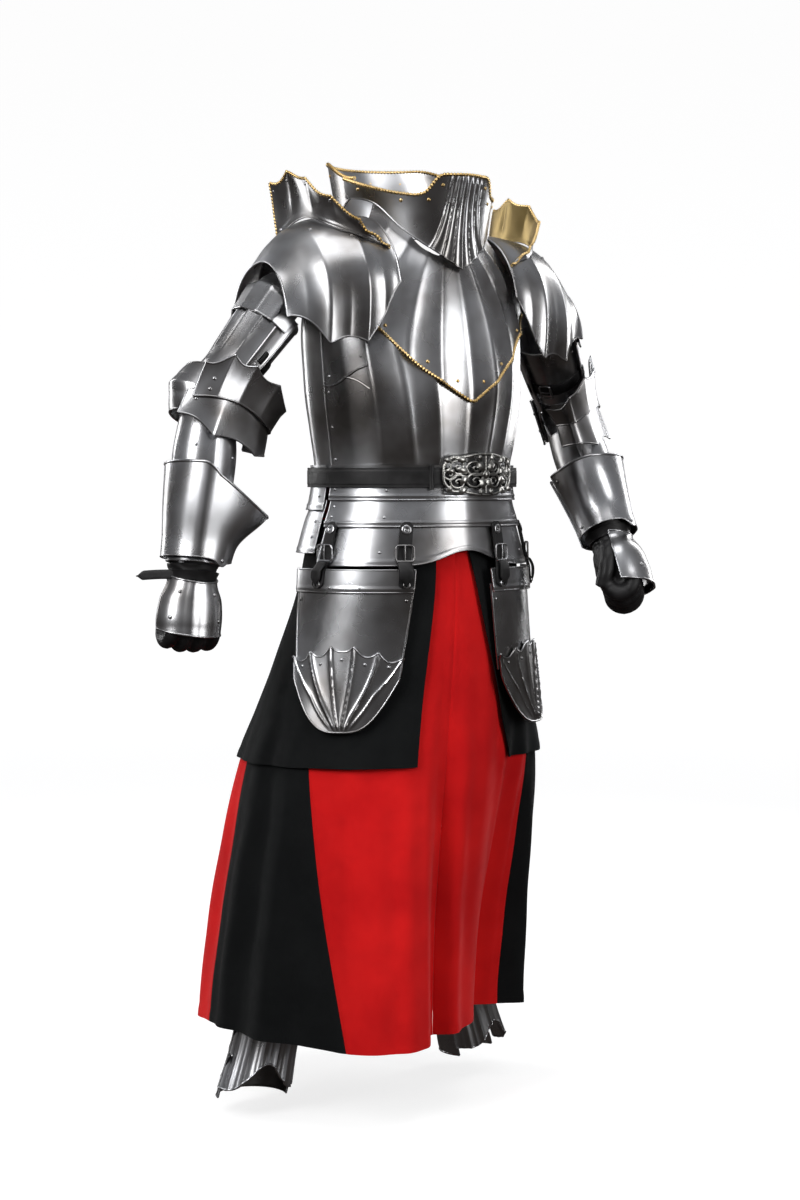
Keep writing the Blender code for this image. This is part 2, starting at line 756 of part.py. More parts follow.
def hand(side):
    name = SIDE_NAMES[side]
    shoulder, elbow, wrist, knuckles = ARM[side]
    forearm_limb = arm_limbs(side)[2]
    limb = Limb(wrist, knuckles, forearm_limb.hinge, forearm_limb.bend)
    middle = wrist + limb.axis * 0.05
    shape = bmesh.new()
    columns, rows = 10, 5
    grid = []
    for j in range(rows + 1):
        along = mix(-0.016, FIST_END, j / rows)
        reach = FIST.at(along)
        grid.append([shape.verts.new(limb.at(360 * i / columns, along, *reach)) for i in range(columns)])
    for j in range(rows):
        for i in range(columns):
            k = (i + 1) % columns
            shape.faces.new((grid[j][i], grid[j][k], grid[j + 1][k], grid[j + 1][i]))
    shape.faces.new(grid[-1])
    bmesh.ops.recalc_face_normals(shape, faces=shape.faces)
    if sum(f.normal.dot(f.calc_center_median() - middle) for f in shape.faces) < 0:
        bmesh.ops.reverse_faces(shape, faces=shape.faces)
    made = solid(f"glove_{name}", shape, BLACK_LEATHER)
    thicken = made.modifiers.new("wall", "SOLIDIFY")
    thicken.thickness = CLOTH_WALL
    thicken.offset = -1

    def back(u, v):
        angle = mix(90 - HAND_PLATE_SPAN, 90 + HAND_PLATE_SPAN, u)
        dip = 0.010 * math.sin(math.pi * u)
        along = mix(HAND_PLATE_FROM + dip, HAND_PLATE_TO + dip, v)
        return limb.at(angle, along, *(reach + HAND_PLATE_RISE for reach in FIST.at(min(along, 0.085))))

    plate(f"hand_plate_{name}", back, 8, 3, middle, STEEL)


# Skirt. Height, half width, depth in front and behind, centre across and back.
SKIRT = Profile(
    (0.130, 0.284, 0.260, 0.270, 0.004, 0.125),
    (0.350, 0.276, 0.225, 0.262, 0.0, 0.085),
    (0.575, 0.262, 0.184, 0.245, 0.0, 0.040),
    (0.660, 0.238, 0.172, 0.216, 0.0, 0.030),
    (0.750, 0.216, 0.165, 0.178, 0.0, 0.020),
    (0.860, 0.190, 0.152, 0.146, 0.0, 0.004),
    (0.930, 0.182, 0.146, 0.133, 0.0, 0.0),
    (0.978, 0.1725, 0.1435, 0.1265, 0.0, 0.0),
)
SKIRT_TOP = 0.978
SKIRT_HEM = 0.135
# Folds that open out towards the hem: angle, half width in degrees, depth at the hem.
FOLDS = (
    (-152, 14, 0.020), (-120, 12, 0.016), (-92, 9, 0.010), (-70, 12, 0.014), (-38, 12, 0.012),
    (-5, 10, -0.045), (16, 9, 0.020), (34, 9, -0.030), (58, 12, 0.012), (88, 12, 0.016),
    (118, 12, 0.018), (148, 12, 0.020), (176, 12, 0.020),
)
FOLD_START, FOLD_FULL = 0.80, 0.20
LEG_FORWARD, LEG_BACK = 0.050, 0.135
# Gores: angles of the two seams at the waist and at the hem.
GORES = (
    ("skirt_front_right", -80, -43, -4, -4, RED_CLOTH),
    ("skirt_front_left", -4, -4, 52, 46, RED_CLOTH),
    ("skirt_side_left", 52, 46, 120, 142, BLACK_CLOTH),
    ("skirt_back", 120, 142, 248, 254, RED_CLOTH),
    ("skirt_side_right", 248, 254, 280, 317, BLACK_CLOTH),
)
GORE_GAP = 0.07
SKIRT_CENTRE = (0, 0.06, 0.5)


def skirt_point(angle, height, lift=0.0):
    """A point on the skirt's outer face."""
    side, front, back, across, behind = SKIRT.at(height)
    spread_out = 1 - ramp(FOLD_FULL, FOLD_START, height)
    fold = 0.0
    for centre, half, depth in FOLDS:
        away = abs((angle - centre + 180) % 360 - 180)
        if away < half:
            fold += depth * (0.5 + 0.5 * math.cos(math.pi * away / half))
    out = lift + fold * spread_out
    x, y = ring(angle, side + out, front + out, back + out)
    low = 1 - ramp(0.15, 0.75, height)
    facing = max(0.0, math.cos(math.radians(angle)))
    y -= LEG_FORWARD * low * facing * math.exp(-(((x + 0.16) / 0.11) ** 2))
    y += LEG_BACK * low * facing * math.exp(-(((x - 0.17) / 0.13) ** 2))
    return Vector((x + across, y + behind, height))


def hem(angle):
    return SKIRT_HEM + 0.006 * math.sin(math.radians(3 * angle))


def skirt():
    for name, waist_from, hem_from, waist_to, hem_to, look in GORES:

        def at(u, v, waist_from=waist_from, hem_from=hem_from, waist_to=waist_to, hem_to=hem_to):
            start = mix(waist_from, hem_from, v) + GORE_GAP
            angle = mix(start, mix(waist_to, hem_to, v) - GORE_GAP, u)
            return skirt_point(angle, mix(SKIRT_TOP, hem(angle), v))

        columns = max(8, round((waist_to - waist_from + hem_to - hem_from) / 11))
        plate(name, at, columns, 8, SKIRT_CENTRE, look, wall=CLOTH_WALL)


OVERSKIRT_TOP, OVERSKIRT_HEM = 0.975, 0.582
# Front edges of the overskirt, at the waist and at the hem.
OVERSKIRT_FROM, OVERSKIRT_TO = (0, 28), (345, 341)
OVERSKIRT_LIFT = 0.007
OVERSKIRT_WAIST_LIFT = 0.0032


def overskirt():
    def at(u, v):
        angle = mix(mix(*OVERSKIRT_FROM, v), mix(*OVERSKIRT_TO, v), u)
        ruffle = 0.002 * v * math.sin(math.radians(angle * 6))
        lift = mix(OVERSKIRT_WAIST_LIFT, OVERSKIRT_LIFT, ramp(0, 0.3, v))
        return skirt_point(angle, mix(OVERSKIRT_TOP, OVERSKIRT_HEM, v), lift + ruffle)

    plate("overskirt", at, 38, 6, SKIRT_CENTRE, BLACK_CLOTH, wall=CLOTH_WALL)


# Tassets hang below the front hoops over the overskirt. Form: as the skirt's table.
TASSET = Profile(
    (0.600, 0.274, 0.202, 0.250, 0.0, 0.037),
    (0.660, 0.256, 0.190, 0.235, 0.0, 0.030),
    (0.750, 0.232, 0.183, 0.196, 0.0, 0.020),
    (0.863, 0.211, 0.172, 0.160, 0.0, 0.004),
    (0.905, 0.205, 0.166, 0.154, 0.0, 0.0),
)
TASSET_SPAN = {RIGHT: ((-97, -27), (-69, -31)), LEFT: ((12, 78), (20, 66))}
TASSET_TOP, TASSET_LAME, TASSET_MAIN = 0.898, 0.862, 0.745
FAN_HIGH, FAN_SIDE, FAN_LOW = 0.780, 0.722, 0.640
FAN_FLUTE = 0.003


def tasset_point(side, u, height, lift=0.0):
    """A point on the tasset; u runs from its right edge to its left edge."""
    (top_from, top_to), (foot_from, foot_to) = TASSET_SPAN[side]
    down = (TASSET_TOP - height) / (TASSET_TOP - FAN_LOW)
    angle = mix(mix(top_from, foot_from, down), mix(top_to, foot_to, down), u)
    wide, front, back, across, behind = TASSET.at(height)
    x, y = ring(angle, wide + lift, front + lift, back + lift)
    return Vector((x + across, y + behind, height))


def tasset(side):
    name = SIDE_NAMES[side]
    inside = (0, 0, 0.8)

    def upper(u, v):
        return tasset_point(side, u, mix(TASSET_TOP, TASSET_LAME, v), LAYER)

    def main(u, v):
        low = TASSET_MAIN - 0.012 * abs(2 * u - 1) ** 2
        return tasset_point(side, u, mix(TASSET_LAME + 0.012, low, v), 0.0)

    def fan(u, v):
        cusp = 0.012 * math.sin(math.pi * ((u * 5) % 1.0))
        low = mix(FAN_LOW, FAN_SIDE, abs(2 * u - 1) ** 3.2)
        high = FAN_HIGH - 0.022 * abs(2 * u - 1) - cusp
        return tasset_point(side, u, mix(high, low, v), LAYER)

    def fan_lift(u, v):
        return flute(u, 5, FAN_FLUTE) * (1 - 0.5 * v)

    plate(f"tasset_upper_{name}", upper, 10, 2, inside, STEEL)
    plate(f"tasset_main_{name}", main, 12, 4, inside, STEEL)
    plate(f"tasset_fan_{name}", proud(fan, fan_lift, inside), 15, 5, inside, STEEL)


# Hangers: name, angle round the waist, side. The upper strap carries the buckle's bar.
HANGERS = (
    ("right_side", -76, RIGHT), ("right_front", -31, RIGHT), ("left_front", 18, LEFT), ("left_side", 65, LEFT),
)
HANGER_HALF = 0.011
HANGER_TOP, HANGER_BAR, HANGER_FOOT = 0.975, 0.911, 0.868
HANGER_SLACK = 0.0006
HANGER_GAP = 0.0008


def hanger(name, angle, side):
    inside = (0, 0, 0.9)
    reach = TORSO.at(0.94)[0]
    hanger_lift = HANGER_GAP + LEATHER_WALL - 0.9 * LAYER

    def sideways(u):
        return angle + math.degrees((u - 0.5) * 2 * HANGER_HALF / (0.5 * (reach + 0.165)))

    def upper(u, v):
        height = mix(HANGER_TOP, HANGER_BAR + HANGER_SLACK, v)
        point = torso(sideways(u), height)
        flat = Vector((point.x, point.y, 0))
        return point + flat.normalized() * hanger_lift

    def lower(u, v):
        height = mix(HANGER_BAR, HANGER_FOOT, v)
        point = torso(sideways(u), height)
        start = point + Vector((point.x, point.y, 0)).normalized() * hanger_lift
        wide, front, back, across, behind = TASSET.at(height)
        lift = LAYER + HANGER_GAP + LEATHER_WALL
        x, y = ring(sideways(u), wide + lift, front + lift, back + lift)
        return start.lerp(Vector((x + across, y + behind, height)), min(1.0, 3 * v))

    plate(f"hanger_{name}", upper, 2, 3, inside, BLACK_LEATHER, wall=LEATHER_WALL)
    plate(f"hanger_buckle_{name}", lower, 2, 3, inside, BLACK_LEATHER, wall=LEATHER_WALL)


# Greaves: ankle, how far the knee end leans from it, and the angle that the toes point to.
GREAVE = {
    RIGHT: (Vector((-0.250, 0.110, 0.0)), Vector((0.120, 0.000, 0)), -18),
    LEFT: (Vector((0.262, 0.165, 0.0)), Vector((-0.125, 0.000, 0)), 22),
}
# Height, half width, reach in front, reach behind.
SHIN = Profile(
    (0.040, 0.058, 0.064, 0.062),
    (0.120, 0.052, 0.056, 0.058),
    (0.250, 0.060, 0.062, 0.074),
    (0.360, 0.068, 0.066, 0.082),
    (0.430, 0.062, 0.064, 0.070),
)
GREAVE_TOP, GREAVE_FOOT = 0.43, 0.045
GREAVE_ARCH = 0.045
GREAVE_SEAM = 84
GREAVE_FLUTE = 0.003


def greave(side):
    name = SIDE_NAMES[side]
    ankle, lean, toes = GREAVE[side]
    inside = ankle + lean * 0.5 + Vector((0, 0, 0.25))

    def shin(angle, height):
        wide, front, back = SHIN.at(height)
        x, y = ring(angle, wide, front, back)
        turn = math.radians(toes)
        turned = Vector((x * math.cos(turn) - y * math.sin(turn), x * math.sin(turn) + y * math.cos(turn), height))
        return ankle + lean * (height / GREAVE_TOP) + turned

    def front(u, v):
        angle = mix(-GREAVE_SEAM, GREAVE_SEAM, u)
        foot = GREAVE_FOOT + GREAVE_ARCH * math.exp(-((angle / 34) ** 2))
        return shin(angle, mix(GREAVE_TOP, foot, v))

    def back(u, v):
        # The halves are hinged on the inner side and laced with a gap on the outer side.
        inner, outer = GREAVE_SEAM + 0.6, GREAVE_SEAM + 4
        first, last = (inner, 360 - outer) if side == RIGHT else (outer, 360 - inner)
        angle = mix(first, last, u)
        return shin(angle, mix(GREAVE_TOP - 0.01, GREAVE_FOOT - 0.015, v))

    def lift(u, v):
        return flute(u, 7, GREAVE_FLUTE) * ramp(0.35, 0.6, v)

    plate(f"greave_front_{name}", proud(front, lift, inside), 14, 6, inside, STEEL)
    plate(f"greave_back_{name}", back, 10, 6, inside, STEEL)


for each_side in (RIGHT, LEFT):
    pauldron(each_side)
    shoulder_guard(each_side)
    upper_arm(each_side)
    couter(each_side)
    forearm(each_side)
    hand(each_side)
    tasset(each_side)
    greave(each_side)

for hanger_name, hanger_angle, hanger_side in HANGERS:
    hanger(hanger_name, hanger_angle, hanger_side)

plackart()
breast_upper()
backplate()
fauld()
belt()
collar()
skirt()
overskirt()

# Seats between the pieces: torso first.
for sign in (RIGHT, LEFT):
    rivet("breast_upper", "plackart", torso(sign * 32, 1.262))
    rivet("plackart", "backplate", torso(sign * 82, 1.19))
    rivet("fauld_front_1", "plackart", torso(sign * 44, 1.058))
    rivet("fauld_front_1", "fauld_front_2", torso(sign * 44, 1.016))
    rivet("fauld_front_2", "fauld_front_3", torso(sign * 44, 0.974))
    rivet("culet_1", "backplate", torso(180 + sign * 50, 1.058))
    rivet("culet_1", "culet_2", torso(180 + sign * 50, 1.002))
    rivet("collar_front", "breast_upper", torso(sign * 40, 1.45))
    rivet("collar_front", "collar_back", Vector((sign * 0.125, 0.0, 1.515)))

rivet("pauldron_right", "breast_upper", (-0.113, -0.036, 1.468))
rivet("pauldron_left", "breast_upper", (0.131, -0.042, 1.443))
rivet("pauldron_right", "shoulder_lame_right", (-0.288, -0.062, 1.342))
rivet("pauldron_left", "shoulder_lame_left", (0.308, 0.078, 1.322))
for each_side in (RIGHT, LEFT):
    side_name = SIDE_NAMES[each_side]
    upper_limb, elbow_limb, lower_limb = arm_limbs(each_side)
    hand_start, hand_end = ARM[each_side][2:]
    fist = Limb(hand_start, hand_end, lower_limb.hinge, lower_limb.bend)
    for way in (-1, 1):
        rivet(f"rerebrace_{side_name}", f"rerebrace_inner_{side_name}", upper_limb.at(way * 117, 0.115, 0.05, 0.05, 0.05))
        rivet(f"shoulder_lame_{side_name}", f"rerebrace_{side_name}", upper_limb.at(way * 88, 0.162, 0.056, 0.056, 0.056))
        rivet(f"hand_plate_{side_name}", f"glove_{side_name}", fist.at(90 + way * 44, 0.055, 0.05, 0.05, 0.05))
        rivet(f"gauntlet_cuff_{side_name}", f"glove_{side_name}", fist.at(90 + way * 50, -0.016, 0.05, 0.05, 0.05))
        rivet(f"tasset_fan_{side_name}", f"tasset_main_{side_name}", tasset_point(each_side, 0.5 + way * 0.28, 0.757))
        rivet(f"tasset_upper_{side_name}", f"tasset_main_{side_name}", tasset_point(each_side, 0.5 + way * 0.12, 0.868))
    rivet(f"couter_wing_{side_name}", f"couter_cop_{side_name}", elbow_limb.at(66, -0.018, 0.06, 0.06, 0.06))
    rivet(f"couter_wing_{side_name}", f"couter_lame_{side_name}", elbow_limb.at(120, 0.0, 0.09, 0.09, 0.07))
    for way in (-1, 1):
        pivot = elbow_limb.hinge * way
        rivet(f"rerebrace_{side_name}", f"vambrace_{side_name}", elbow_limb.start, axis=pivot)
        rivet(f"couter_cop_{side_name}", f"rerebrace_{side_name}", elbow_limb.start, axis=pivot)
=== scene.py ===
"""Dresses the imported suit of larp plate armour, with its skirt, for one picture, as it is worn.

Metres, +Z up. The front of the breastplate faces -Y and the wearer's left is +X. Heights are
measured from the floor below the suit, and every piece is lowered by HOLD_HEIGHT as it is made.
"""

import math

import bmesh
import bpy
from mathutils import Matrix, Vector


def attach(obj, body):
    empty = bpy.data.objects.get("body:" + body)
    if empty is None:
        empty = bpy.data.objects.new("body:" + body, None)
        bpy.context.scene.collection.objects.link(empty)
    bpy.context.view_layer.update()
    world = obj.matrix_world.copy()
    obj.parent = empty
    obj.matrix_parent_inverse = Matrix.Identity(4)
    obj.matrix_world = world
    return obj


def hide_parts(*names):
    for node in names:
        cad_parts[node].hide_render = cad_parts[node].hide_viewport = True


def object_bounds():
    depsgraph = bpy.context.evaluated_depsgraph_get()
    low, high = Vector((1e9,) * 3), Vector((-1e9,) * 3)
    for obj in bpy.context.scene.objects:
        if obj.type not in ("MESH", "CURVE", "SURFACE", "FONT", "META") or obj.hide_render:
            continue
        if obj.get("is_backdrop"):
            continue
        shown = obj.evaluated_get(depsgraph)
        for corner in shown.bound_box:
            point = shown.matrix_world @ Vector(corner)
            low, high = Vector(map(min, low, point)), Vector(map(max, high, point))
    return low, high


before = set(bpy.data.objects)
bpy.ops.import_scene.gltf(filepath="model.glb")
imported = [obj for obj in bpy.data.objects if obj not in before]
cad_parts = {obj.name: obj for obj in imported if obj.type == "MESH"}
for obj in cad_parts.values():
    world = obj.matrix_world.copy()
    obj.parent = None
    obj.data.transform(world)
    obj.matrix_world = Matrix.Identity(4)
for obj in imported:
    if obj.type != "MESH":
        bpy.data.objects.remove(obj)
cad_low, cad_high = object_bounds()
scene = bpy.context.scene
HOLD_HEIGHT = 1.42

# Camera
# A level camera at the height of the belt, 35 degrees to the wearer's right of the front.
VIEW_TURN = math.radians(-35)
VIEW_AWAY, VIEW_HEIGHT = 4.2, 1.05
PICTURE_TALL = 1200
camera_data = bpy.data.cameras.new("camera")
camera_data.lens = 75.6
camera_data.sensor_width = 36.0
camera_data.shift_x = -10 / PICTURE_TALL
camera_data.shift_y = -125 / PICTURE_TALL
camera = bpy.data.objects.new("camera", camera_data)
scene.collection.objects.link(camera)
camera.location = (VIEW_AWAY * math.sin(VIEW_TURN), -VIEW_AWAY * math.cos(VIEW_TURN),
                   VIEW_HEIGHT - HOLD_HEIGHT)
camera.rotation_euler = (math.radians(90), 0, VIEW_TURN)
scene.camera = camera

# Backplate
# Mild steel plate, raised with shallow flutes, polished and left to darken in the hollows. It is
# the first plate here, so the sheet metal, its rolled edges, its rivets and its steel start here.
STEEL_WALL = 0.0016
LAYER = 0.0048
RIGHT, LEFT = -1, 1
SIDE_NAMES = {RIGHT: "right", LEFT: "left"}
TORSO_SQUARE = 0.92
KEEL, KEEL_WIDTH = 0.007, 28.0
TORSO_CENTRE = Vector((0, 0, 1.2))


def smooth_table(*rows):
    """Reads a short table as smooth curves: each row is a position and the values there."""

    def at(position):
        if position <= rows[0][0]:
            return list(rows[0][1:])
        if position >= rows[-1][0]:
            return list(rows[-1][1:])
        i = next(k for k in range(len(rows) - 1) if position <= rows[k + 1][0])
        low, high = rows[i], rows[i + 1]
        before, after = rows[max(i - 1, 0)], rows[min(i + 2, len(rows) - 1)]
        span = high[0] - low[0]
        t = (position - low[0]) / span
        values = []
        for c in range(1, len(low)):
            slope_low = (high[c] - before[c]) / (high[0] - before[0]) * span
            slope_high = (after[c] - low[c]) / (after[0] - low[0]) * span
            values.append(
                (2 * t**3 - 3 * t**2 + 1) * low[c]
                + (t**3 - 2 * t**2 + t) * slope_low
                + (3 * t**2 - 2 * t**3) * high[c]
                + (t**3 - t**2) * slope_high
            )
        return values

    at.rows = rows
    return at


def mix(a, b, t):
    return a + (b - a) * t


def ramp(low, high, value):
    """0 below low, 1 above high, smooth between."""
    t = min(max((value - low) / (high - low), 0.0), 1.0)
    return t * t * (3 - 2 * t)


def bell(value, middle, width):
    """1 at the middle and falling off smoothly to each side."""
    return math.exp(-(((value - middle) / width) ** 2))


def peak(value, middle, half):
    """1 at the middle and falling straight to 0 at half to each side."""
    return max(0.0, 1 - abs(value - middle) / half)


def spread(knots, u):
    """The value at u, from 0 to 1, along evenly spaced knots."""
    place = min(max(u, 0.0), 1.0) * (len(knots) - 1)
    i = min(int(place), len(knots) - 2)
    return mix(knots[i], knots[i + 1], place - i)


def flute(u, count, height):
    """Height of a fluted plate at u: a raised crease at each end of count hollows."""
    t = (u * count) % 1.0
    return height * abs(2 * t - 1) ** 2.4


def to_edge(u):
    """How far u, from 0 to 1, is from the nearer edge."""
    return min(u, 1 - u)


def cusps(u, count):
    """0 at each end of count arches along u and 1 in the middle of each."""
    return math.sin(math.pi * ((u * count) % 1.0))


def ring(angle, side, front, back, square=1.0):
    """x and y of a rounded section at that angle in degrees, 0 to the front and 90 to +x."""
    s, c = math.sin(math.radians(angle)), math.cos(math.radians(angle))
    x = math.copysign(abs(s) ** square, s) * side
    y = -math.copysign(abs(c) ** square, c) * (front if c > 0 else back)
    return x, y


torso_form = smooth_table(
    (0.860, 0.216, 0.176, 0.166),
    (0.912, 0.206, 0.166, 0.156),
    (0.975, 0.189, 0.160, 0.143),
    (1.008, 0.178, 0.156, 0.131),
    (1.050, 0.173, 0.153, 0.124),
    (1.125, 0.181, 0.163, 0.136),
    (1.170, 0.187, 0.167, 0.144),
    (1.208, 0.190, 0.165, 0.148),
    (1.300, 0.194, 0.150, 0.150),
    (1.383, 0.176, 0.128, 0.142),
    (1.425, 0.143, 0.114, 0.128),
    (1.460, 0.113, 0.104, 0.114),
    (1.500, 0.094, 0.096, 0.104),
)


def torso(angle, height):
    """A point on the torso's form, with a keel down the middle of the front."""
    side, front, back = torso_form(height)
    wrapped = abs((angle + 180) % 360 - 180)
    front += KEEL * peak(wrapped, 0, KEEL_WIDTH)
    x, y = ring(angle, side, front, back, TORSO_SQUARE)
    return Vector((x, y, height))


# How much of the stated columns and rows a sheet is given.
SHEET_DETAIL = 0.75


class Sheet:
    """A sheet bent onto surface(u, v), raised by lift(u, v), with its wall on the side of inside."""

    def __init__(self, surface, columns, rows, inside, wall=STEEL_WALL, lift=None, flat=(1.0, 1.0)):
        columns, rows = round(columns * SHEET_DETAIL), round(rows * SHEET_DETAIL)
        shape = bmesh.new()
        bmesh.ops.create_grid(shape, x_segments=columns, y_segments=rows, size=0.5)
        weave = shape.loops.layers.uv.new("weave")
        places = [(vert.co.x + 0.5, vert.co.y + 0.5) for vert in shape.verts]
        for face in shape.faces:
            for loop in face.loops:
                u, v = places[loop.vert.index]
                loop[weave].uv = (u * flat[0], v * flat[1])
        for vert, (u, v) in zip(shape.verts, places):
            vert.co = surface(u, v)
        shape.normal_update()
        outward = sum(
            face.normal.dot((face.calc_center_median() - inside).normalized()) * face.calc_area()
            for face in shape.faces
        )
        if outward < 0:
            bmesh.ops.reverse_faces(shape, faces=shape.faces)
            shape.normal_update()
        if lift:
            moves = [vert.normal * lift(u, v) for vert, (u, v) in zip(shape.verts, places)]
            for vert, move in zip(shape.verts, moves):
                vert.co += move
            shape.normal_update()
        shape.verts.ensure_lookup_table()
        self.columns, self.rows, self.wall = columns, rows, wall
        across = columns + 1
        lines = [shape.verts[j * across:(j + 1) * across] for j in range(rows + 1)]
        self.points = [[vert.co.copy() for vert in line] for line in lines]
        self.normals = [[vert.normal.copy() for vert in line] for line in lines]
        self.shape = modified(shape, "SOLIDIFY", thickness=wall, offset=-1)

    def spot(self, u, v):
        """The place and the outward direction at u, v."""
        i, j = min(max(u, 0), 1) * self.columns, min(max(v, 0), 1) * self.rows
        a, b = min(int(i), self.columns - 1), min(int(j), self.rows - 1)
        found = []
        for table in (self.points, self.normals):
            low = table[b][a].lerp(table[b][a + 1], i - a)
            high = table[b + 1][a].lerp(table[b + 1][a + 1], i - a)
            found.append(low.lerp(high, j - b))
        return found[0], found[1].normalized()

    def edge(self, side, sink=0.5):
        """Points along one edge in the middle of the wall: u0, u1, v0 or v1."""
        if side[0] == "u":
            i = 0 if side == "u0" else -1
            pairs = [(row[i], out[i]) for row, out in zip(self.points, self.normals)]
        else:
            j = 0 if side == "v0" else -1
            pairs = list(zip(self.points[j], self.normals[j]))
        return [point - out * self.wall * sink for point, out in pairs]


def modified(shape, kind, **settings):
    """The bmesh after one modifier of that kind."""
    mesh = bpy.data.meshes.new("held")
    shape.to_mesh(mesh)
    shape.free()
    holder = bpy.data.objects.new("held", mesh)
    scene.collection.objects.link(holder)
    change = holder.modifiers.new("change", kind)
    for key, value in settings.items():
        setattr(change, key, value)
    done = bmesh.new()
    done.from_object(holder, bpy.context.evaluated_depsgraph_get())
    bpy.data.objects.remove(holder, do_unlink=True)
    bpy.data.meshes.remove(mesh)
    return done


def closed(shape, near=1e-5):
    """Joins the first and the last edge of a sheet that goes right round."""
    bmesh.ops.remove_doubles(shape, verts=shape.verts, dist=near)
    return shape


def capped(shape):
    """Joins the edges of a bar, fills its ends and turns its faces outwards."""
    closed(shape, 1e-6)
    bmesh.ops.holes_fill(shape, edges=[edge for edge in shape.edges if edge.is_boundary], sides=0)
    bmesh.ops.recalc_face_normals(shape, faces=shape.faces)
    return shape


def add_shape(whole, shape):
    """Adds a bmesh to another one and frees it."""
    part = bpy.data.meshes.new("part")
    shape.to_mesh(part)
    shape.free()
    whole.from_mesh(part)
    bpy.data.meshes.remove(part)


def tube(points, radius, around=8, lobes=0, pitch=1.0, flat=None):
    """A bar along points. Lobes and pitch twist it into a rope; flat gives it a second radius."""
    shape = bmesh.new()
    steps = len(points) - 1
    bmesh.ops.create_grid(shape, x_segments=steps, y_segments=around, size=0.5)
    shape.loops.layers.uv.new("weave")
    ahead = [(points[min(i + 1, steps)] - points[max(i - 1, 0)]).normalized() for i in range(steps + 1)]
    side = ahead[0].orthogonal().normalized() if flat is None else flat[1].normalized()
    run, frames = 0.0, []
    for i in range(steps + 1):
        side = (side - ahead[i] * side.dot(ahead[i])).normalized()
        if i:
            run += (points[i] - points[i - 1]).length
        frames.append((side.copy(), ahead[i].cross(side), run))
    for vert in shape.verts:
        i = round((vert.co.x + 0.5) * steps)
        turn = (vert.co.y + 0.5) * math.tau
        one, two, along = frames[i]
        reach = radius(i / steps) if callable(radius) else radius
        if lobes:
            reach *= 0.72 + 0.28 * abs(math.cos(lobes * 0.5 * (turn - math.tau * along / pitch)))
        thin = reach if flat is None else flat[0]
        vert.co = points[i] + one * math.cos(turn) * reach + two * math.sin(turn) * thin
    return capped(shape)


def even(points, step):
    """The same path with points a step apart."""
    found, left = [points[0].copy()], step
    for a, b in zip(points, points[1:]):
        length = (b - a).length
        done = 0.0
        while length - done > left:
            done += left
            found.append(a.lerp(b, done / length))
            left = step
        left -= length - done
    return found


def dome(place, out, radius, height=0.6):
    """A rivet's head: place and out are where it sits and the way that it faces."""
    shape = bmesh.new()
    bmesh.ops.create_uvsphere(shape, u_segments=12, v_segments=8, radius=radius)
    shape.loops.layers.uv.new("weave")
    turn = out.to_track_quat("Z", "Y").to_matrix().to_4x4()
    matrix = Matrix.Translation(place) @ turn @ Matrix.Diagonal((1, 1, height, 1))
    bmesh.ops.transform(shape, matrix=matrix, verts=shape.verts)
    return shape


def new_look(name):
    """A new material with its nodes, its links and its shader."""
    look = bpy.data.materials.new(name)
    look.use_nodes = True
    nodes = look.node_tree.nodes
    return look, nodes, look.node_tree.links, nodes["Principled BSDF"]


def noise(nodes, links, scale, detail=3.0, stretch=(1, 1, 1)):
    """A noise texture over the piece's own coordinates."""
    place = nodes.new("ShaderNodeTexCoord")
    mapping = nodes.new("ShaderNodeMapping")
    mapping.inputs["Scale"].default_value = stretch
    texture = nodes.new("ShaderNodeTexNoise")
    texture.inputs["Scale"].default_value = scale
    texture.inputs["Detail"].default_value = detail
    links.new(place.outputs["Object"], mapping.inputs["Vector"])
    links.new(mapping.outputs["Vector"], texture.inputs["Vector"])
    return texture.outputs["Fac"]


def tones(nodes, links, value, *stops):
    """Colours along a value, from 0 to 1."""
    band = nodes.new("ShaderNodeValToRGB")
    while len(band.color_ramp.elements) < len(stops):
        band.color_ramp.elements.new(0.5)
    for element, (position, colour) in zip(band.color_ramp.elements, stops):
        element.position = position
        element.color = (*colour, 1.0)
    links.new(value, band.inputs["Fac"])
    return band.outputs["Color"]


def band(nodes, links, value, low, high):
    """A value from 0 to 1 taken to the span from low to high."""
    scale = nodes.new("ShaderNodeMapRange")
    scale.inputs["To Min"].default_value = low
    scale.inputs["To Max"].default_value = high
    links.new(value, scale.inputs["Value"])
    return scale.outputs["Result"]


def relief(nodes, links, shader, *layers):
    """Bumps laid over each other: a height, its strength and its depth in metres."""
    below = None
    for height, strength, depth in layers:
        bump = nodes.new("ShaderNodeBump")
        bump.inputs["Strength"].default_value = strength
        bump.inputs["Distance"].default_value = depth
        links.new(height, bump.inputs["Height"])
        if below:
            links.new(below, bump.inputs["Normal"])
        below = bump.outputs["Normal"]
    links.new(below, shader.inputs["Normal"])


def plate_metal(name, dark, light, smooth, rough, hammer=0.35):
    """Polished sheet metal: darker tarnish in clouds, fine rubbing marks and a hand-raised surface."""
    look, nodes, links, shader = new_look(name)
    clouds = noise(nodes, links, 8, 3)
    links.new(tones(nodes, links, clouds, (0.34, dark), (0.62, light)), shader.inputs["Base Color"])
    links.new(band(nodes, links, noise(nodes, links, 10, 3), smooth, rough), shader.inputs["Roughness"])
    shader.inputs["Metallic"].default_value = 1.0
    dents, blows = noise(nodes, links, 5, 1), noise(nodes, links, 17, 1)
    rubbing = noise(nodes, links, 160, 4, (1, 1, 0.12))
    relief(nodes, links, shader, (dents, 0.5, 0.0070), (blows, hammer, 0.0012), (rubbing, 0.02, 0.0002))
    return look


STEEL = plate_metal("steel", (0.19, 0.180, 0.174), (0.47, 0.475, 0.49), 0.19, 0.38)


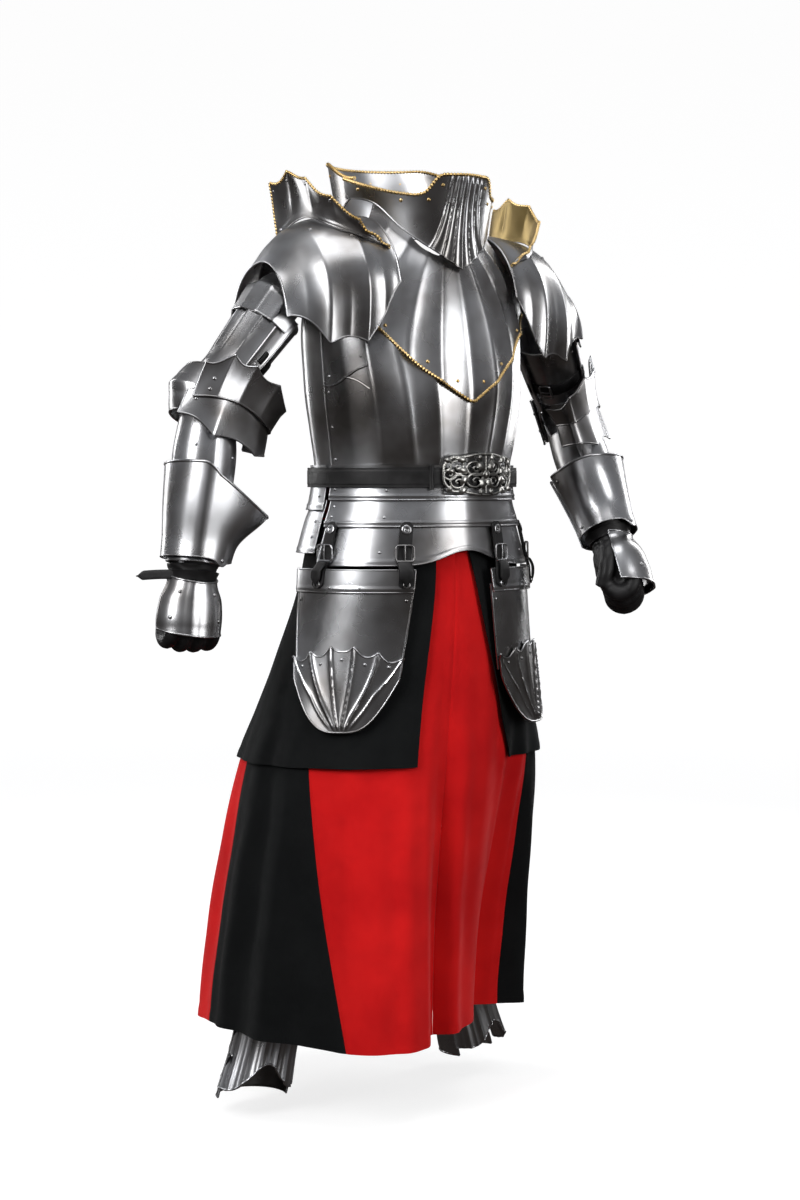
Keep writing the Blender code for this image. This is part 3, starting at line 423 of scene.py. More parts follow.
def piece(name, body, *parts, node=None, slot="steel"):
    """One object from its parts, each a bmesh and its material, which rides on body.

    The node is the solid that it stands for.
    """
    whole = bmesh.new()
    whole.loops.layers.uv.new("weave")
    looks = []
    for shape, look in parts:
        if look not in looks:
            looks.append(look)
        for face in shape.faces:
            face.material_index = looks.index(look)
            face.smooth = True
        bmesh.ops.translate(shape, verts=shape.verts, vec=(0, 0, -HOLD_HEIGHT))
        add_shape(whole, shape)
    mesh = bpy.data.meshes.new(name)
    whole.to_mesh(mesh)
    whole.free()
    for look in looks:
        mesh.materials.append(look)
    mesh.set_sharp_from_angle(angle=math.radians(55))
    made = bpy.data.objects.new(name, mesh)
    scene.collection.objects.link(made)
    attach(made, body)
    if node:
        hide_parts(node)
    return made


ROLL = 0.0019


ALL_EDGES = ("v0", "v1", "u0", "u1")
RIVET, BIG_RIVET, SMALL_RIVET = 0.0032, 0.0034, 0.0028


def rolled(sheet, *sides, radius=ROLL):
    """The rolled edges of a plate, as bars along its sides."""
    return [(tube(sheet.edge(side), radius, around=7), STEEL) for side in sides]


def riveted(sheet, spots, radius=RIVET, look=None):
    """Rivet heads at the places u, v on a plate."""
    return [(dome(*sheet.spot(u, v), radius), look or STEEL) for u, v in spots]


def plate(name, body, node, sheet, edges=ALL_EDGES, rivets=(), *more, roll=ROLL, head=RIVET, look=None):
    """A steel plate with its rolled edges, its rivets and whatever more is fixed to it."""
    return piece(name, body, (sheet.shape, STEEL), *more, *rolled(sheet, *edges, radius=roll),
                 *riveted(sheet, rivets, head, look), node=node)


def both(*spots):
    """The same spots at both ends of a plate."""
    return [(u, v) for near, v in spots for u in (near, 1 - near)]


BACK_FROM, BACK_TO = 79, 281
BACK_LOW = 1.040
back_high = smooth_table((79, 1.300), (100, 1.330), (125, 1.41), (150, 1.455), (180, 1.465),
                         (210, 1.455), (235, 1.41), (260, 1.330), (281, 1.300))


def backplate(u, v):
    angle = mix(BACK_FROM, BACK_TO, u)
    return torso(angle, mix(BACK_LOW, back_high(angle)[0], v))


def backplate_lift(u, v):
    tuck = mix(2.8 * LAYER, LAYER, ramp(0, 0.12, to_edge(u)))
    return flute(u, 8, 0.002) * ramp(0.02, 0.2, v) - tuck


back_sheet = Sheet(backplate, 112, 36, TORSO_CENTRE, lift=backplate_lift)
plate("back_plate", "suit", "backplate", back_sheet, ["v1"], [(0.5, 0.94), *both((0.1, 0.9), (0.3, 0.94))])

# Lower breastplate
# A fluted steel plate whose creases rise from the belt and fan out under the upper plate. A seam
# with a turned edge and rivets divides off each side.
PLACKART_FOOT = (-84, -66, -46, -27, -13, 0, 13, 27, 46, 66, 84)
PLACKART_HEAD = (-84, -70, -54, -37, -18, 0, 18, 37, 54, 70, 84)
PLACKART_LOW = 1.040
PLACKART_ARMPIT = 1.285
breast_edges = smooth_table(
    (0, 1.167, 1.400),
    (15, 1.201, 1.410),
    (28, 1.233, 1.435),
    (42, 1.278, 1.468),
    (60, 1.322, 1.488),
    (84, 1.345, 1.494),
)


def plackart(u, v):
    angle = mix(spread(PLACKART_FOOT, u), spread(PLACKART_HEAD, u), v)
    high = breast_edges(abs(angle))[0] + 0.035
    high = min(high, mix(1.335, PLACKART_ARMPIT, ramp(56, 84, abs(angle))))
    return torso(angle, mix(PLACKART_LOW, high, v))


def plackart_lift(u, v):
    middle = ramp(0.06, 0.2, to_edge(u))
    return flute(u, 10, 0.0034) * ramp(0.02, 0.2, v) * middle - LAYER


plackart_sheet = Sheet(plackart, 140, 40, TORSO_CENTRE, lift=plackart_lift)
seams = []
for edge in (0.0, 1.0):
    step = 1 - 2 * edge
    level = [(0.19 * k / 18, 0.63 - 0.03 * math.sin(math.pi * k / 18)) for k in range(19)]
    slope = [(mix(0.10, 0.185, k / 12), mix(0.61, 0.50, k / 12)) for k in range(13)]
    for run in (level, slope):
        spots = [plackart_sheet.spot(edge + step * u, v) for u, v in run]
        seams.append((tube([place + out * 0.0001 for place, out in spots], 0.0021), STEEL))
plate("lower_breastplate", "suit", "plackart", plackart_sheet, ["u0", "u1"],
      both((0.03, 0.68), (0.17, 0.68), (0.02, 0.58), (0.02, 0.35), (0.02, 0.14)), *seams, head=SMALL_RIVET)

# Upper breastplate
# A fluted plate laid over the lower one. Its V-shaped lower edge has a beaded brass rope soldered
# along it, and it is held by brass rivets.
BREAST_FOOT = (-70, -58, -44, -30, -15, 0, 15, 30, 44, 58, 70)
BREAST_NECK = (-72, -46, -28, -15, -7, 0, 7, 15, 28, 46, 72)
ROPE_RADIUS = 0.0031
ROPE_PITCH = 0.0056
BEAD_STEPS = 7
BRASS = plate_metal("brass", (0.36, 0.23, 0.08), (0.72, 0.52, 0.24), 0.20, 0.40, 0.3)
BRASS_SHEET = plate_metal("brass_sheet", (0.12, 0.082, 0.030), (0.27, 0.195, 0.075), 0.28, 0.48, 0.5)


def breast(u, v):
    foot, neck = spread(BREAST_FOOT, u), spread(BREAST_NECK, u)
    low, high = breast_edges(abs(foot))[0], breast_edges(abs(neck))[1]
    return torso(mix(foot, neck, v**1.4), mix(low, high, v))


def breast_lift(u, v):
    return flute(u, 10, 0.0042) * (1 - 0.6 * v) + 0.0012


def rope(sheet, side, radius=ROPE_RADIUS):
    """A beaded brass rope along a plate's edge."""
    path = even(sheet.edge(side), ROPE_PITCH / BEAD_STEPS)
    beads = len(path) / BEAD_STEPS
    return tube(path, lambda t: radius * (0.86 + 0.24 * math.cos(math.tau * beads * t)), around=10), BRASS


breast_sheet = Sheet(breast, 140, 48, Vector((0, 0, 1.28)), lift=breast_lift)
plate("upper_breastplate", "suit", "breast_upper", breast_sheet, ["u0", "u1"],
      both(*((u, 0.085) for u in (0.08, 0.22, 0.36, 0.455))), rope(breast_sheet, "v0"), look=BRASS)

# Collar
# Two steel plates round the neck. The front one is pinched into curved flutes that run down to its
# point. Both have a beaded brass rope along the rim, with brass rivets below it.
COLLAR_CENTRE = Vector((0, 0, 1.45))
COLLAR_CREASES = 6
collar_edges = smooth_table(
    (0, 1.383, 1.534),
    (12, 1.397, 1.533),
    (22, 1.411, 1.530),
    (32, 1.424, 1.504),
    (48, 1.450, 1.504),
    (68, 1.492, 1.516),
    (92, 1.505, 1.535),
)
collar_form = smooth_table(
    (1.380, 0.105, 0.146, 0.120),
    (1.430, 0.112, 0.146, 0.122),
    (1.480, 0.120, 0.152, 0.126),
    (1.530, 0.128, 0.165, 0.136),
    (1.575, 0.127, 0.176, 0.158),
)


def collar_front(u, v):
    angle = mix(-92, 92, u)
    low, high = collar_edges(abs(angle))
    height = mix(low, high, v)
    side, depth, back = collar_form(height)
    side += 0.004 * ramp(1.50, 1.38, height)
    x, y = ring(angle, side, depth, back)
    return Vector((x, y, height))


def collar_lift(u, v):
    half = 0.075 + 0.07 * (1 - v) ** 2
    across = (u - 0.5) / half
    inside = ramp(1.12, 0.98, abs(across))
    return (flute((across + 1) / 2, COLLAR_CREASES, 0.0034) - 0.0010) * inside * ramp(1.0, 0.9, v) + 0.001


def collar_back(u, v):
    middle = 1 - abs(2 * u - 1)
    low = mix(1.506, 1.455, ramp(0, 0.5, middle))
    height = mix(low, mix(1.535, 1.572, ramp(0, 0.5, middle)), v)
    side, depth, rear = collar_form(height)
    x, y = ring(mix(84, 276, u), side - 0.0045, depth - 0.0045, rear + 0.012)
    return Vector((x, y, height))


front_sheet = Sheet(collar_front, 380, 44, COLLAR_CENTRE, lift=collar_lift)
plate("collar_front_plate", "suit", "collar_front", front_sheet, ["v0"],
      both((0.07, 0.62), (0.24, 0.80), (0.345, 0.80), (0.395, 0.87)), rope(front_sheet, "v1"), look=BRASS)
neck_sheet = Sheet(collar_back, 60, 16, COLLAR_CENTRE)
plate("collar_back_plate", "suit", "collar_back", neck_sheet, ["v0"],
      both((0.2, 0.82), (0.32, 0.82), (0.44, 0.82)), rope(neck_sheet, "v1"), look=BRASS)

# Fauld and culet
# Steel hoops below the waist, front and back, riveted to leathers inside. Each has a raised line
# along its lower edge, and the lowest front hoop is arched in the middle.
FAULD_FRONT = ((1.066, 1.010, -0.25, 0.0), (1.022, 0.968, 1.0, 0.9), (0.982, 0.906, 2.0, 1.2))
FAULD_BACK = ((1.066, 0.994, -0.35, 0.0), (1.010, 0.925, 1.0, 0.9))
FAULD_SPAN = 83
FAULD_ARCH, FAULD_ARCH_WIDTH = 0.024, 15.0


def hoop(name, node, first, last, high, low, start, end, arch):
    """A hoop over that span of degrees. It lies start layers deep at its top and end at its edge."""

    def at(u, v):
        angle = mix(first, last, u)
        edge = low + arch * bell(angle, 0, FAULD_ARCH_WIDTH)
        return torso(angle, mix(high, edge, v))

    def lift(u, v):
        down = (1 - v) * (high - low)
        line = 0.0013 * bell(down, 0.0065, 0.0016)
        return line - LAYER * mix(start, end, v)

    sheet = Sheet(at, 132, 40, TORSO_CENTRE, lift=lift)
    rivets = both((0.025, 0.4), (0.025, 0.7))
    rivets += both(((-44 - first) / (last - first), 0.72)) if first < 0 else []
    plate(name, "suit", node, sheet, ["v1", "u0", "u1"], rivets, roll=0.0014, head=SMALL_RIVET)


for number, sizes in enumerate(FAULD_FRONT, 1):
    hoop(f"fauld_hoop_{number}", f"fauld_front_{number}", -FAULD_SPAN, FAULD_SPAN, *sizes,
         FAULD_ARCH if number == 3 else 0.0)
for number, sizes in enumerate(FAULD_BACK, 1):
    hoop(f"culet_hoop_{number}", f"culet_{number}", 87, 273, *sizes, 0.0)

# Belt
# Black leather, 32 mm wide, with a line tooled along each edge and a keeper beside the plaque.
BELT_LOW, BELT_MIDDLE, BELT_HIGH = 1.030, 1.046, 1.062
KEEPER_AT = -19.2
BELT_GAP = 0.0027
LEATHER_WALL = 0.003


def hide(name, colour, grain, rough):
    """Dyed leather: pebbled grain, creases and a dull shine that wears brighter."""
    look, nodes, links, shader = new_look(name)
    place = nodes.new("ShaderNodeTexCoord")
    pebbles = nodes.new("ShaderNodeTexVoronoi")
    pebbles.inputs["Scale"].default_value = grain
    links.new(place.outputs["Object"], pebbles.inputs["Vector"])
    worn = tuple(min(1.0, c * 2.6 + 0.006) for c in colour)
    wear, dullness, creases = (noise(nodes, links, *scale) for scale in ((34, 6), (21, 4), (70, 5)))
    links.new(tones(nodes, links, wear, (0.38, colour), (0.75, worn)), shader.inputs["Base Color"])
    links.new(band(nodes, links, dullness, *rough), shader.inputs["Roughness"])
    shader.inputs["Specular IOR Level"].default_value = 0.30
    relief(nodes, links, shader, (pebbles.outputs["Distance"], 0.25, 0.0004), (creases, 0.3, 0.0008))
    return look


BLACK_LEATHER = hide("black_leather", (0.0055, 0.0052, 0.0055), 900, (0.36, 0.62))


def belt_point(angle, height, out):
    waist = torso(angle, BELT_LOW - 0.004)
    flat = Vector((waist.x, waist.y, 0))
    flat += flat.normalized() * (BELT_GAP + out)
    return Vector((flat.x, flat.y, height))


def belt(u, v):
    return belt_point(mix(-180, 180, u), mix(BELT_LOW, BELT_HIGH, v), LEATHER_WALL)


def belt_lift(u, v):
    line = to_edge(v) * (BELT_HIGH - BELT_LOW)
    return -0.0006 * bell(line, 0.0035, 0.0009) + 0.0004 * ramp(0, 0.15, to_edge(v))


belt_sheet = Sheet(belt, 240, 32, Vector((0, 0, BELT_MIDDLE)), wall=LEATHER_WALL, lift=belt_lift)
path = [belt_point(KEEPER_AT, BELT_MIDDLE + 0.0195 * c, LEATHER_WALL + 0.002 * abs(c)) for c in (-1, 0, 1)]
keeper = tube(path, 0.004, flat=(0.0022, Vector((1, -0.3, 0))))
piece("waist_belt", "suit", (closed(belt_sheet.shape), BLACK_LEATHER), (keeper, BLACK_LEATHER),
      node="belt", slot="black_leather")

# Belt plaque
# A pewter casting of scrolled stems with leaves, pierced right through, in a corded oval frame. It
# has a plain scroll pattern of its own.
BUCKLE_MIDDLE, BUCKLE_HEIGHT = 8.5, 1.051
BUCKLE_HALF, BUCKLE_RISE = 0.0615, 0.035
BUCKLE_BED = LEATHER_WALL + 0.0014
PEWTER = plate_metal("pewter", (0.10, 0.098, 0.090), (0.46, 0.455, 0.43), 0.22, 0.42, 0.5)
DEGREES_FROM_METRES = math.degrees(1 / 0.150)


def on_plaque(x, y, out):
    """A point over the belt, x to the wearer's left and y up from the middle of the plaque."""
    return belt_point(BUCKLE_MIDDLE + x * DEGREES_FROM_METRES, BUCKLE_HEIGHT + y, BUCKLE_BED + out)


def squared(turn, square):
    """x and y of a rounded square, up to 1 each way, at that turn in radians."""
    return [math.copysign(abs(part) ** square, part) for part in (math.cos(turn), math.sin(turn))]


def scroll(x, y, size, start, turns, way, rise):
    """A stem that winds inwards, as a tapered bar."""
    path = []
    for k in range(41):
        t = k / 40
        turn = start + way * math.tau * turns * t
        reach = size * (1 - t) ** 0.8 + 0.0012
        path.append(on_plaque(x + reach * math.cos(turn), y + reach * math.sin(turn), rise + 0.0016 * t))
    return tube(path, lambda t: 0.0021 - 0.0009 * t, around=8)


def leaf(x, y, heading, length, rise):
    """A pointed leaf with a raised rib."""

    def at(u, v):
        width = 0.30 * length * math.sin(math.pi * min(1.0, v * 0.92 + 0.04)) ** 0.8
        across = (2 * u - 1) * width * (1 + 0.25 * math.cos(v * 19))
        curl = heading + 0.7 * v
        px = x + v * length * math.cos(heading + 0.35 * v) - across * math.sin(curl)
        py = y + v * length * math.sin(heading + 0.35 * v) + across * math.cos(curl)
        return on_plaque(px, py, rise + 0.0022 * (1 - abs(2 * u - 1)) + 0.0028 * math.sin(math.pi * v))

    return Sheet(at, 6, 12, Vector((0, 0, BUCKLE_HEIGHT)), wall=0.0016).shape


plaque = []
rim = []
for k in range(121):
    turn = math.tau * k / 120
    x, y = squared(turn, 0.62)
    y *= (BUCKLE_RISE - 0.004) * (1 + 0.06 * math.cos(8 * turn))
    rim.append(on_plaque(x * (BUCKLE_HALF - 0.004), y, 0.0024))
plaque.append(tube(even(rim, 0.0009), 0.0028, around=10, lobes=3, pitch=0.012))
for way in (-1, 1):
    for x, y, size, start, turns in (
        (0.016, 0.011, 0.0125, 3.6, 1.6), (0.016, -0.011, 0.0125, 2.6, 1.6),
        (0.038, 0.013, 0.0115, 3.9, 1.5), (0.038, -0.013, 0.0115, 2.3, 1.5),
        (0.050, 0.000, 0.0085, 3.1, 1.3),
    ):
        start = start if way > 0 else math.pi - start
        plaque.append(scroll(way * x, y, size, start, turns, way if y >= 0 else -way, 0.0022))
    for x, y, heading, length in (
        (0.004, 0.004, 0.9, 0.020), (0.004, -0.004, -1.6, 0.020), (0.026, 0.002, 0.4, 0.017),
        (0.026, -0.002, -1.1, 0.017), (0.027, 0.020, 0.3, 0.016), (0.027, -0.020, -1.0, 0.016),
        (0.047, 0.018, 0.5, 0.012), (0.047, -0.018, -1.2, 0.012), (0.008, 0.022, 0.9, 0.012),
        (0.008, -0.022, -1.6, 0.012), (0.042, 0.003, 0.2, 0.014),
    ):
        heading = heading if way > 0 else math.pi - heading - 0.35
        plaque.append(leaf(way * x, y, heading, length, 0.0030))
plaque.append(tube([on_plaque(0, y / 1000, 0.0030) for y in range(-30, 31, 3)], 0.0026))
plaque.append(dome(on_plaque(0, 0, 0.0045), torso(BUCKLE_MIDDLE, 1.05) - Vector((0, 0, 1.05)), 0.0075))
piece("belt_plaque", "suit", *[(shape, PEWTER) for shape in plaque], node="belt_buckle", slot="pewter")

# Shoulders
# A steel plate over each shoulder with raised creases and a cusped lower edge, and a fluted guard
# standing on it, lined with brass sheet and rimmed with the brass rope.
SHOULDER = {RIGHT: Vector((-0.185, 0.0, 0)), LEFT: Vector((0.203, 0.012, -0.016))}
PAULDRON_FROM, PAULDRON_TO = -0.072, 0.105
PAULDRON_FLUTE = 0.003
PAULDRON_REAR_CUT = {RIGHT: 0.0, LEFT: 26.0}
GUARD_POINTS = 5
GUARD_CUT = 0.010
GUARD_LEAN = 0.012
LINING_GAP = 0.0018
pauldron_form = smooth_table(
    (-0.072, 1.335, 0.132, 0.139, 80, 84),
    (-0.030, 1.335, 0.136, 0.137, 116, 104),
    (0.030, 1.320, 0.120, 0.140, 118, 104),
    (0.075, 1.300, 0.096, 0.130, 100, 98),
    (0.105, 1.280, 0.080, 0.112, 80, 84),
)
guard_form = smooth_table(
    (0.00, -0.066, -0.112, 1.412),
    (0.25, -0.020, -0.098, 1.468),
    (0.50, 0.020, -0.052, 1.512),
    (0.75, 0.022, 0.020, 1.545),
    (1.00, 0.026, 0.080, 1.530),
)

for side in (RIGHT, LEFT):
    side_name = SIDE_NAMES[side]
    inside = SHOULDER[side] + Vector((0, 0, 1.33))

    def pauldron(u, v):
        out = mix(PAULDRON_FROM, PAULDRON_TO, u)
        height, depth, rise, front, rear = pauldron_form(out)
        rear -= PAULDRON_REAR_CUT[side] * ramp(0.0, 0.07, out)
        cut = 7.0 * cusps(u, 3) ** 0.9
        angle = mix(front - cut, -rear + cut, v)
        turn = math.radians(angle)
        across = math.sin(turn)
        if abs(angle) > 90:
            across = math.copysign(1 - 0.35 * (1 - abs(across)), across)
        return Vector((side * out, -depth * across, height + rise * math.cos(turn))) + SHOULDER[side]

    def pauldron_lift(u, v):
        edge = abs(2 * v - 1)
        between = flute(u * 3 % 1.0, 2, 0.0012)
        return flute(u, 3, 0.0042) * ramp(0.05, 0.6, edge) + between * ramp(0.5, 0.9, edge)

    sheet = Sheet(pauldron, 90, 96, inside, lift=pauldron_lift)
    plate(f"shoulder_plate_{side_name}", "suit", f"pauldron_{side_name}", sheet, ALL_EDGES,
          [(0.36, 0.34), (0.64, 0.42), (0.36, 0.68), (0.12, 0.5)], head=BIG_RIVET)

    facing = SHOULDER[side] + Vector((-side * 0.2, 0, 1.45))

    def guard(u, v):
        out, back, rim = guard_form(u)
        height, depth, rise = pauldron_form(out)[:3]
        foot = height + rise * math.sqrt(max(0.0, 1 - (back / depth) ** 2)) + PAULDRON_FLUTE + 0.0016
        rim -= GUARD_CUT * cusps(u, GUARD_POINTS)
        base = SHOULDER[side] + Vector((side * (out + GUARD_LEAN * v * v), back, 0))
        return base + Vector((0, 0, mix(foot, max(rim, foot + 0.012), v)))

    def guard_lift(u, v):
        return flute(u, GUARD_POINTS, 0.0036) * ramp(0, 0.5, v) + 0.0006 * bell(v, 0.08, 0.03)

    def lining_lift(u, v):
        return guard_lift(u, v) - STEEL_WALL - LINING_GAP / 6

    sheet = Sheet(guard, 110, 32, facing, lift=guard_lift)
    lining = Sheet(guard, 110, 32, facing, lift=lining_lift, wall=0.0006)
    pins = [(k / GUARD_POINTS + 0.02, 0.86) for k in range(GUARD_POINTS)]
    pins += [(0.98, 0.86), (0.05, 0.12), (0.95, 0.12)]
    plate(f"standing_guard_{side_name}", "suit", f"shoulder_guard_{side_name}", sheet, ["v0"], pins,
          (lining.shape, BRASS_SHEET), rope(sheet, "v1", 0.0026), rope(sheet, "u0", 0.0022),
          rope(sheet, "u1", 0.0022), roll=0.0015, head=SMALL_RIVET)

# Upper arms
# Over the outside a fluted steel plate with a lame above it, and inside a plain one, drawn together
# by a black leather strap with a steel buckle.
ARM = {
    RIGHT: (Vector((-0.235, 0.0, 1.35)), Vector((-0.388, 0.0, 1.17)),
            Vector((-0.428, -0.017, 0.894)), Vector((-0.440, -0.022, 0.784))),
    LEFT: (Vector((0.262, 0.0, 1.34)), Vector((0.405, 0.092, 1.160)),
           Vector((0.386, -0.050, 0.945)), Vector((0.384, -0.110, 0.815))),
}
REREBRACE_SPAN, INNER_SPAN = 120, 66
EAR, EAR_WIDE = 0.014, 0.0490
STRAP_AT, CLASP_AT = 0.095, 210
upper_arm_form = smooth_table(
    (0.030, 0.0440, 0.0450, 0.0450),
    (0.090, 0.0445, 0.0500, 0.0500),
    (0.160, 0.0500, 0.0540, 0.0540),
    (0.230, 0.0560, 0.0580, 0.0580),
)


class Limb:
    """Points round an axis: angle 0 lies on the outside of the bend, 90 on the hinge's outer side."""

    def __init__(self, start, end, hinge, bend):
        self.start = start
        self.axis = (end - start).normalized()
        self.length = (end - start).length
        self.hinge = hinge
        self.bend = (bend - self.axis * bend.dot(self.axis)).normalized()

    def at(self, angle, along, outer, inner, wide):
        """outer, inner and wide are the reach at angle 0, 180 and 90."""
        s, c = math.sin(math.radians(angle)), math.cos(math.radians(angle))
        reach = outer if c > 0 else inner
        return self.start + self.axis * along - self.bend * (c * reach) + self.hinge * (s * wide)


def arm_limbs(side):
    """The upper arm, the elbow and the forearm of that side."""
    shoulder, elbow, wrist, knuckles = ARM[side]
    upper, lower = (elbow - shoulder).normalized(), (wrist - elbow).normalized()
    hinge = upper.cross(lower).normalized() * (1 if side == RIGHT else -1)
    bend = (lower - upper).normalized()
    across = (upper + lower).normalized()
    return (Limb(elbow, elbow - upper, hinge, bend), Limb(elbow, elbow + across, hinge, bend),
            Limb(elbow, wrist, hinge, bend))


def strap(point, columns, rows, inside, thick=0.0024):
    """A leather strap on point(u, v), with its edges rubbed round."""

    def rubbed(u, v):
        return -0.0007 * (1 - ramp(0, 0.16, to_edge(u)))

    return Sheet(point, columns, rows, inside, wall=thick, lift=rubbed).shape, BLACK_LEATHER


def buckle(place, out, up, wide, tall, bar=0.0014):
    """A square steel buckle with a roller and a pin, lying on a strap."""
    across = up.cross(out).normalized()
    path = []
    for k in range(33):
        x, y = squared(math.tau * (k + 0.5) / 32, 0.35)
        path.append(place + across * x * wide / 2 + up * y * tall / 2 + out * 0.0014)
    foot = place - up * tall / 2
    roller = [foot + across * (wide * (k / 6 - 0.5) * 0.86) + out * 0.0016 for k in range(7)]
    pin = [foot + up * (tall - tall * k / 6) + out * (0.0034 - 0.0008 * abs(k / 3 - 1)) for k in range(7)]
    bars = tube(path, bar), tube(roller, bar * 1.5, around=10), tube(pin, bar * 0.85)
    return [(shape, STEEL) for shape in bars]


for side in (RIGHT, LEFT):
    side_name = SIDE_NAMES[side]
    limb = arm_limbs(side)[0]
    middle = limb.start + limb.axis * 0.12

    def rerebrace(u, v):
        angle = mix(-REREBRACE_SPAN, REREBRACE_SPAN, u)
        ear = bell(abs(angle), 90, 13)
        along = mix(mix(0.036, -EAR, ear), 0.178, v)
        outer, inner, wide = upper_arm_form(along)
        return limb.at(angle, along, outer, inner, mix(wide, EAR_WIDE, ramp(0.05, 0.0, along)))

    def rerebrace_lift(u, v):
        turned = 0.0010 * bell(v, 0.07, 0.03)
        return flute(u, 8, 0.0030) * ramp(0.08, 0.45, v) + turned

    def inner_plate(u, v):
        angle = mix(180 - INNER_SPAN, 180 + INNER_SPAN, u)
        along = mix(0.058, 0.180, v)
        return limb.at(angle, along, *(reach - 0.005 for reach in upper_arm_form(along)))

    def shoulder_lame(u, v):
        angle = mix(-108, 108, u)
        along = mix(0.148, 0.252, v)
        lift = 0.0045 - 0.011 * ramp(0.192, 0.222, along) - 0.014 * ramp(0.222, 0.252, along)
        return limb.at(angle, along, *(reach + lift for reach in upper_arm_form(min(along, 0.196))))

    sheet = Sheet(rerebrace, 144, 40, middle, lift=rerebrace_lift)
    plate(f"upper_arm_{side_name}", "suit", f"rerebrace_{side_name}", sheet, ["v0", "u0", "u1"],
          both((0.06, 0.35), (0.06, 0.85)))
    plate(f"upper_arm_inner_{side_name}", "suit", f"rerebrace_inner_{side_name}",
          Sheet(inner_plate, 40, 24, middle), ALL_EDGES, both((0.08, 0.12), (0.08, 0.75)), head=0.0026)
    sheet = Sheet(shoulder_lame, 96, 20, middle, lift=lambda u, v: flute(u, 7, 0.0026) * ramp(0.9, 0.3, v))
    plate(f"shoulder_lame_plate_{side_name}", "suit", f"shoulder_lame_{side_name}", sheet, ["v0", "v1"],
          both((0.07, 0.3)), head=SMALL_RIVET)

    def arm_strap(u, v):
        along = STRAP_AT + mix(-0.011, 0.011, u)
        angle = mix(180 - 74, 180 + 74, v)
        lift = 0.0022 + 0.0062 * ramp(58, 68, abs(angle - 180)) - 0.0045
        return limb.at(angle, along, *(reach + lift for reach in upper_arm_form(along)))

    reaches = [reach - 0.0012 for reach in upper_arm_form(STRAP_AT)]
    place = limb.at(CLASP_AT, STRAP_AT, *reaches)
    ahead = (limb.at(CLASP_AT + 2, STRAP_AT, *reaches) - place).normalized()
    out = ahead.cross(limb.axis).normalized()
    if out.dot(place - middle) < 0:
        out.negate()
    piece(f"upper_arm_strap_{side_name}", "suit", strap(arm_strap, 10, 60, middle),
          *buckle(place, out, ahead, 0.027, 0.020), slot="black_leather")

# Elbows
# A domed cop over the point, a broad fluted wing that flares round the inside of the bend to a
# cusped edge, and a lower lame. They turn on rivets with the forearm.
COP_REACH, COP_HALF, COP_WIDE = 0.064, 0.040, 0.0545
ELBOW_ROOM = {RIGHT: 0.0, LEFT: 0.022}
WING_WIDE = 0.06125
WING_RISE = {RIGHT: 0.0, LEFT: 0.020}
wing_form = smooth_table(
    (48, 0.0660, 0.0660, -0.036, 0.020),
    (75, 0.070, 0.068, -0.062, 0.010),
    (105, 0.079, 0.072, -0.064, 0.002),
    (130, 0.097, 0.088, -0.062, 0.000),
    (155, 0.118, 0.108, -0.054, 0.004),
    (180, 0.124, 0.116, -0.034, 0.008),
    (205, 0.106, 0.100, -0.028, 0.006),
)
lame_form = smooth_table(
    (38, 0.0610, 0.0600, 0.010, 0.052),
    (75, 0.064, 0.066, -0.004, 0.064),
    (105, 0.068, 0.078, -0.010, 0.066),
    (140, 0.084, 0.102, -0.012, 0.060),
    (180, 0.108, 0.122, -0.008, 0.054),
    (205, 0.090, 0.104, -0.008, 0.044),
)

for side in (RIGHT, LEFT):
    side_name = SIDE_NAMES[side]
    limb = arm_limbs(side)[1]
    body = f"couter_{side_name}"

    def cop(u, v):
        angle = mix(-98, 98, u)
        along = mix(-COP_HALF, COP_HALF, v)
        reach = math.sqrt(COP_REACH**2 - along**2)
        keel = 0.0045 * max(0.0, 1 - abs(2 * v - 1) * 2.5)
        return limb.at(angle, along, reach + keel, reach, COP_WIDE)

    def wing_at(table, u, v, cuts, depth, wide, flare, rise):
        """A point of the wing or the lame, with cusps cut depth deep and an outer point of that rise."""
        rows = table.rows
        angle = mix(rows[0][0], rows[-1][0], u)
        top, foot, start, end = table(angle)
        cut = depth * cusps(u, cuts)
        start += max(cut, 0) - rise * ramp(22, 4, abs(angle - 79))
        end += min(cut, 0)
        reach = mix(top, foot, v**0.6)
        s, c = math.sin(math.radians(angle)), math.cos(math.radians(angle))
        inner = reach + ELBOW_ROOM[side] * ramp(0, 0.6, -c)
        return (limb.start + limb.axis * mix(start, end, v) - limb.bend * (c * (inner if c < 0 else 0.066))
                + limb.hinge * (s * (wide + flare)))

    def wing(u, v):
        return wing_at(wing_form, u, v, 5, 0.010, WING_WIDE, (1 - v) ** 2 * 0.010, WING_RISE[side])

    def lower_lame(u, v):
        return wing_at(lame_form, u, v, 3, -0.010, COP_WIDE + 0.0035, 0.0, 0.0)

    bent_side = limb.start + limb.bend * 0.03
    sheet = Sheet(cop, 64, 40, limb.start, lift=lambda u, v: flute(v, 2, 0.0008) * ramp(0, 0.2, to_edge(u)))
    plate(f"elbow_cop_{side_name}", body, f"couter_cop_{side_name}", sheet, ALL_EDGES,
          both((0.08, 0.3), (0.08, 0.7)))
    sheet = Sheet(wing, 120, 30, bent_side, lift=lambda u, v: flute(u, 5, 0.0044) * (1 - 0.8 * v) + 0.0004)
    plate(f"elbow_wing_{side_name}", body, f"couter_wing_{side_name}", sheet, ALL_EDGES,
          [(0.12, 0.5), (0.12, 0.8)])
    sheet = Sheet(lower_lame, 96, 26, bent_side, lift=lambda u, v: flute(u, 3, 0.0034) * v)
    plate(f"elbow_lame_{side_name}", body, f"couter_lame_{side_name}", sheet, ALL_EDGES, [(0.1, 0.4)])

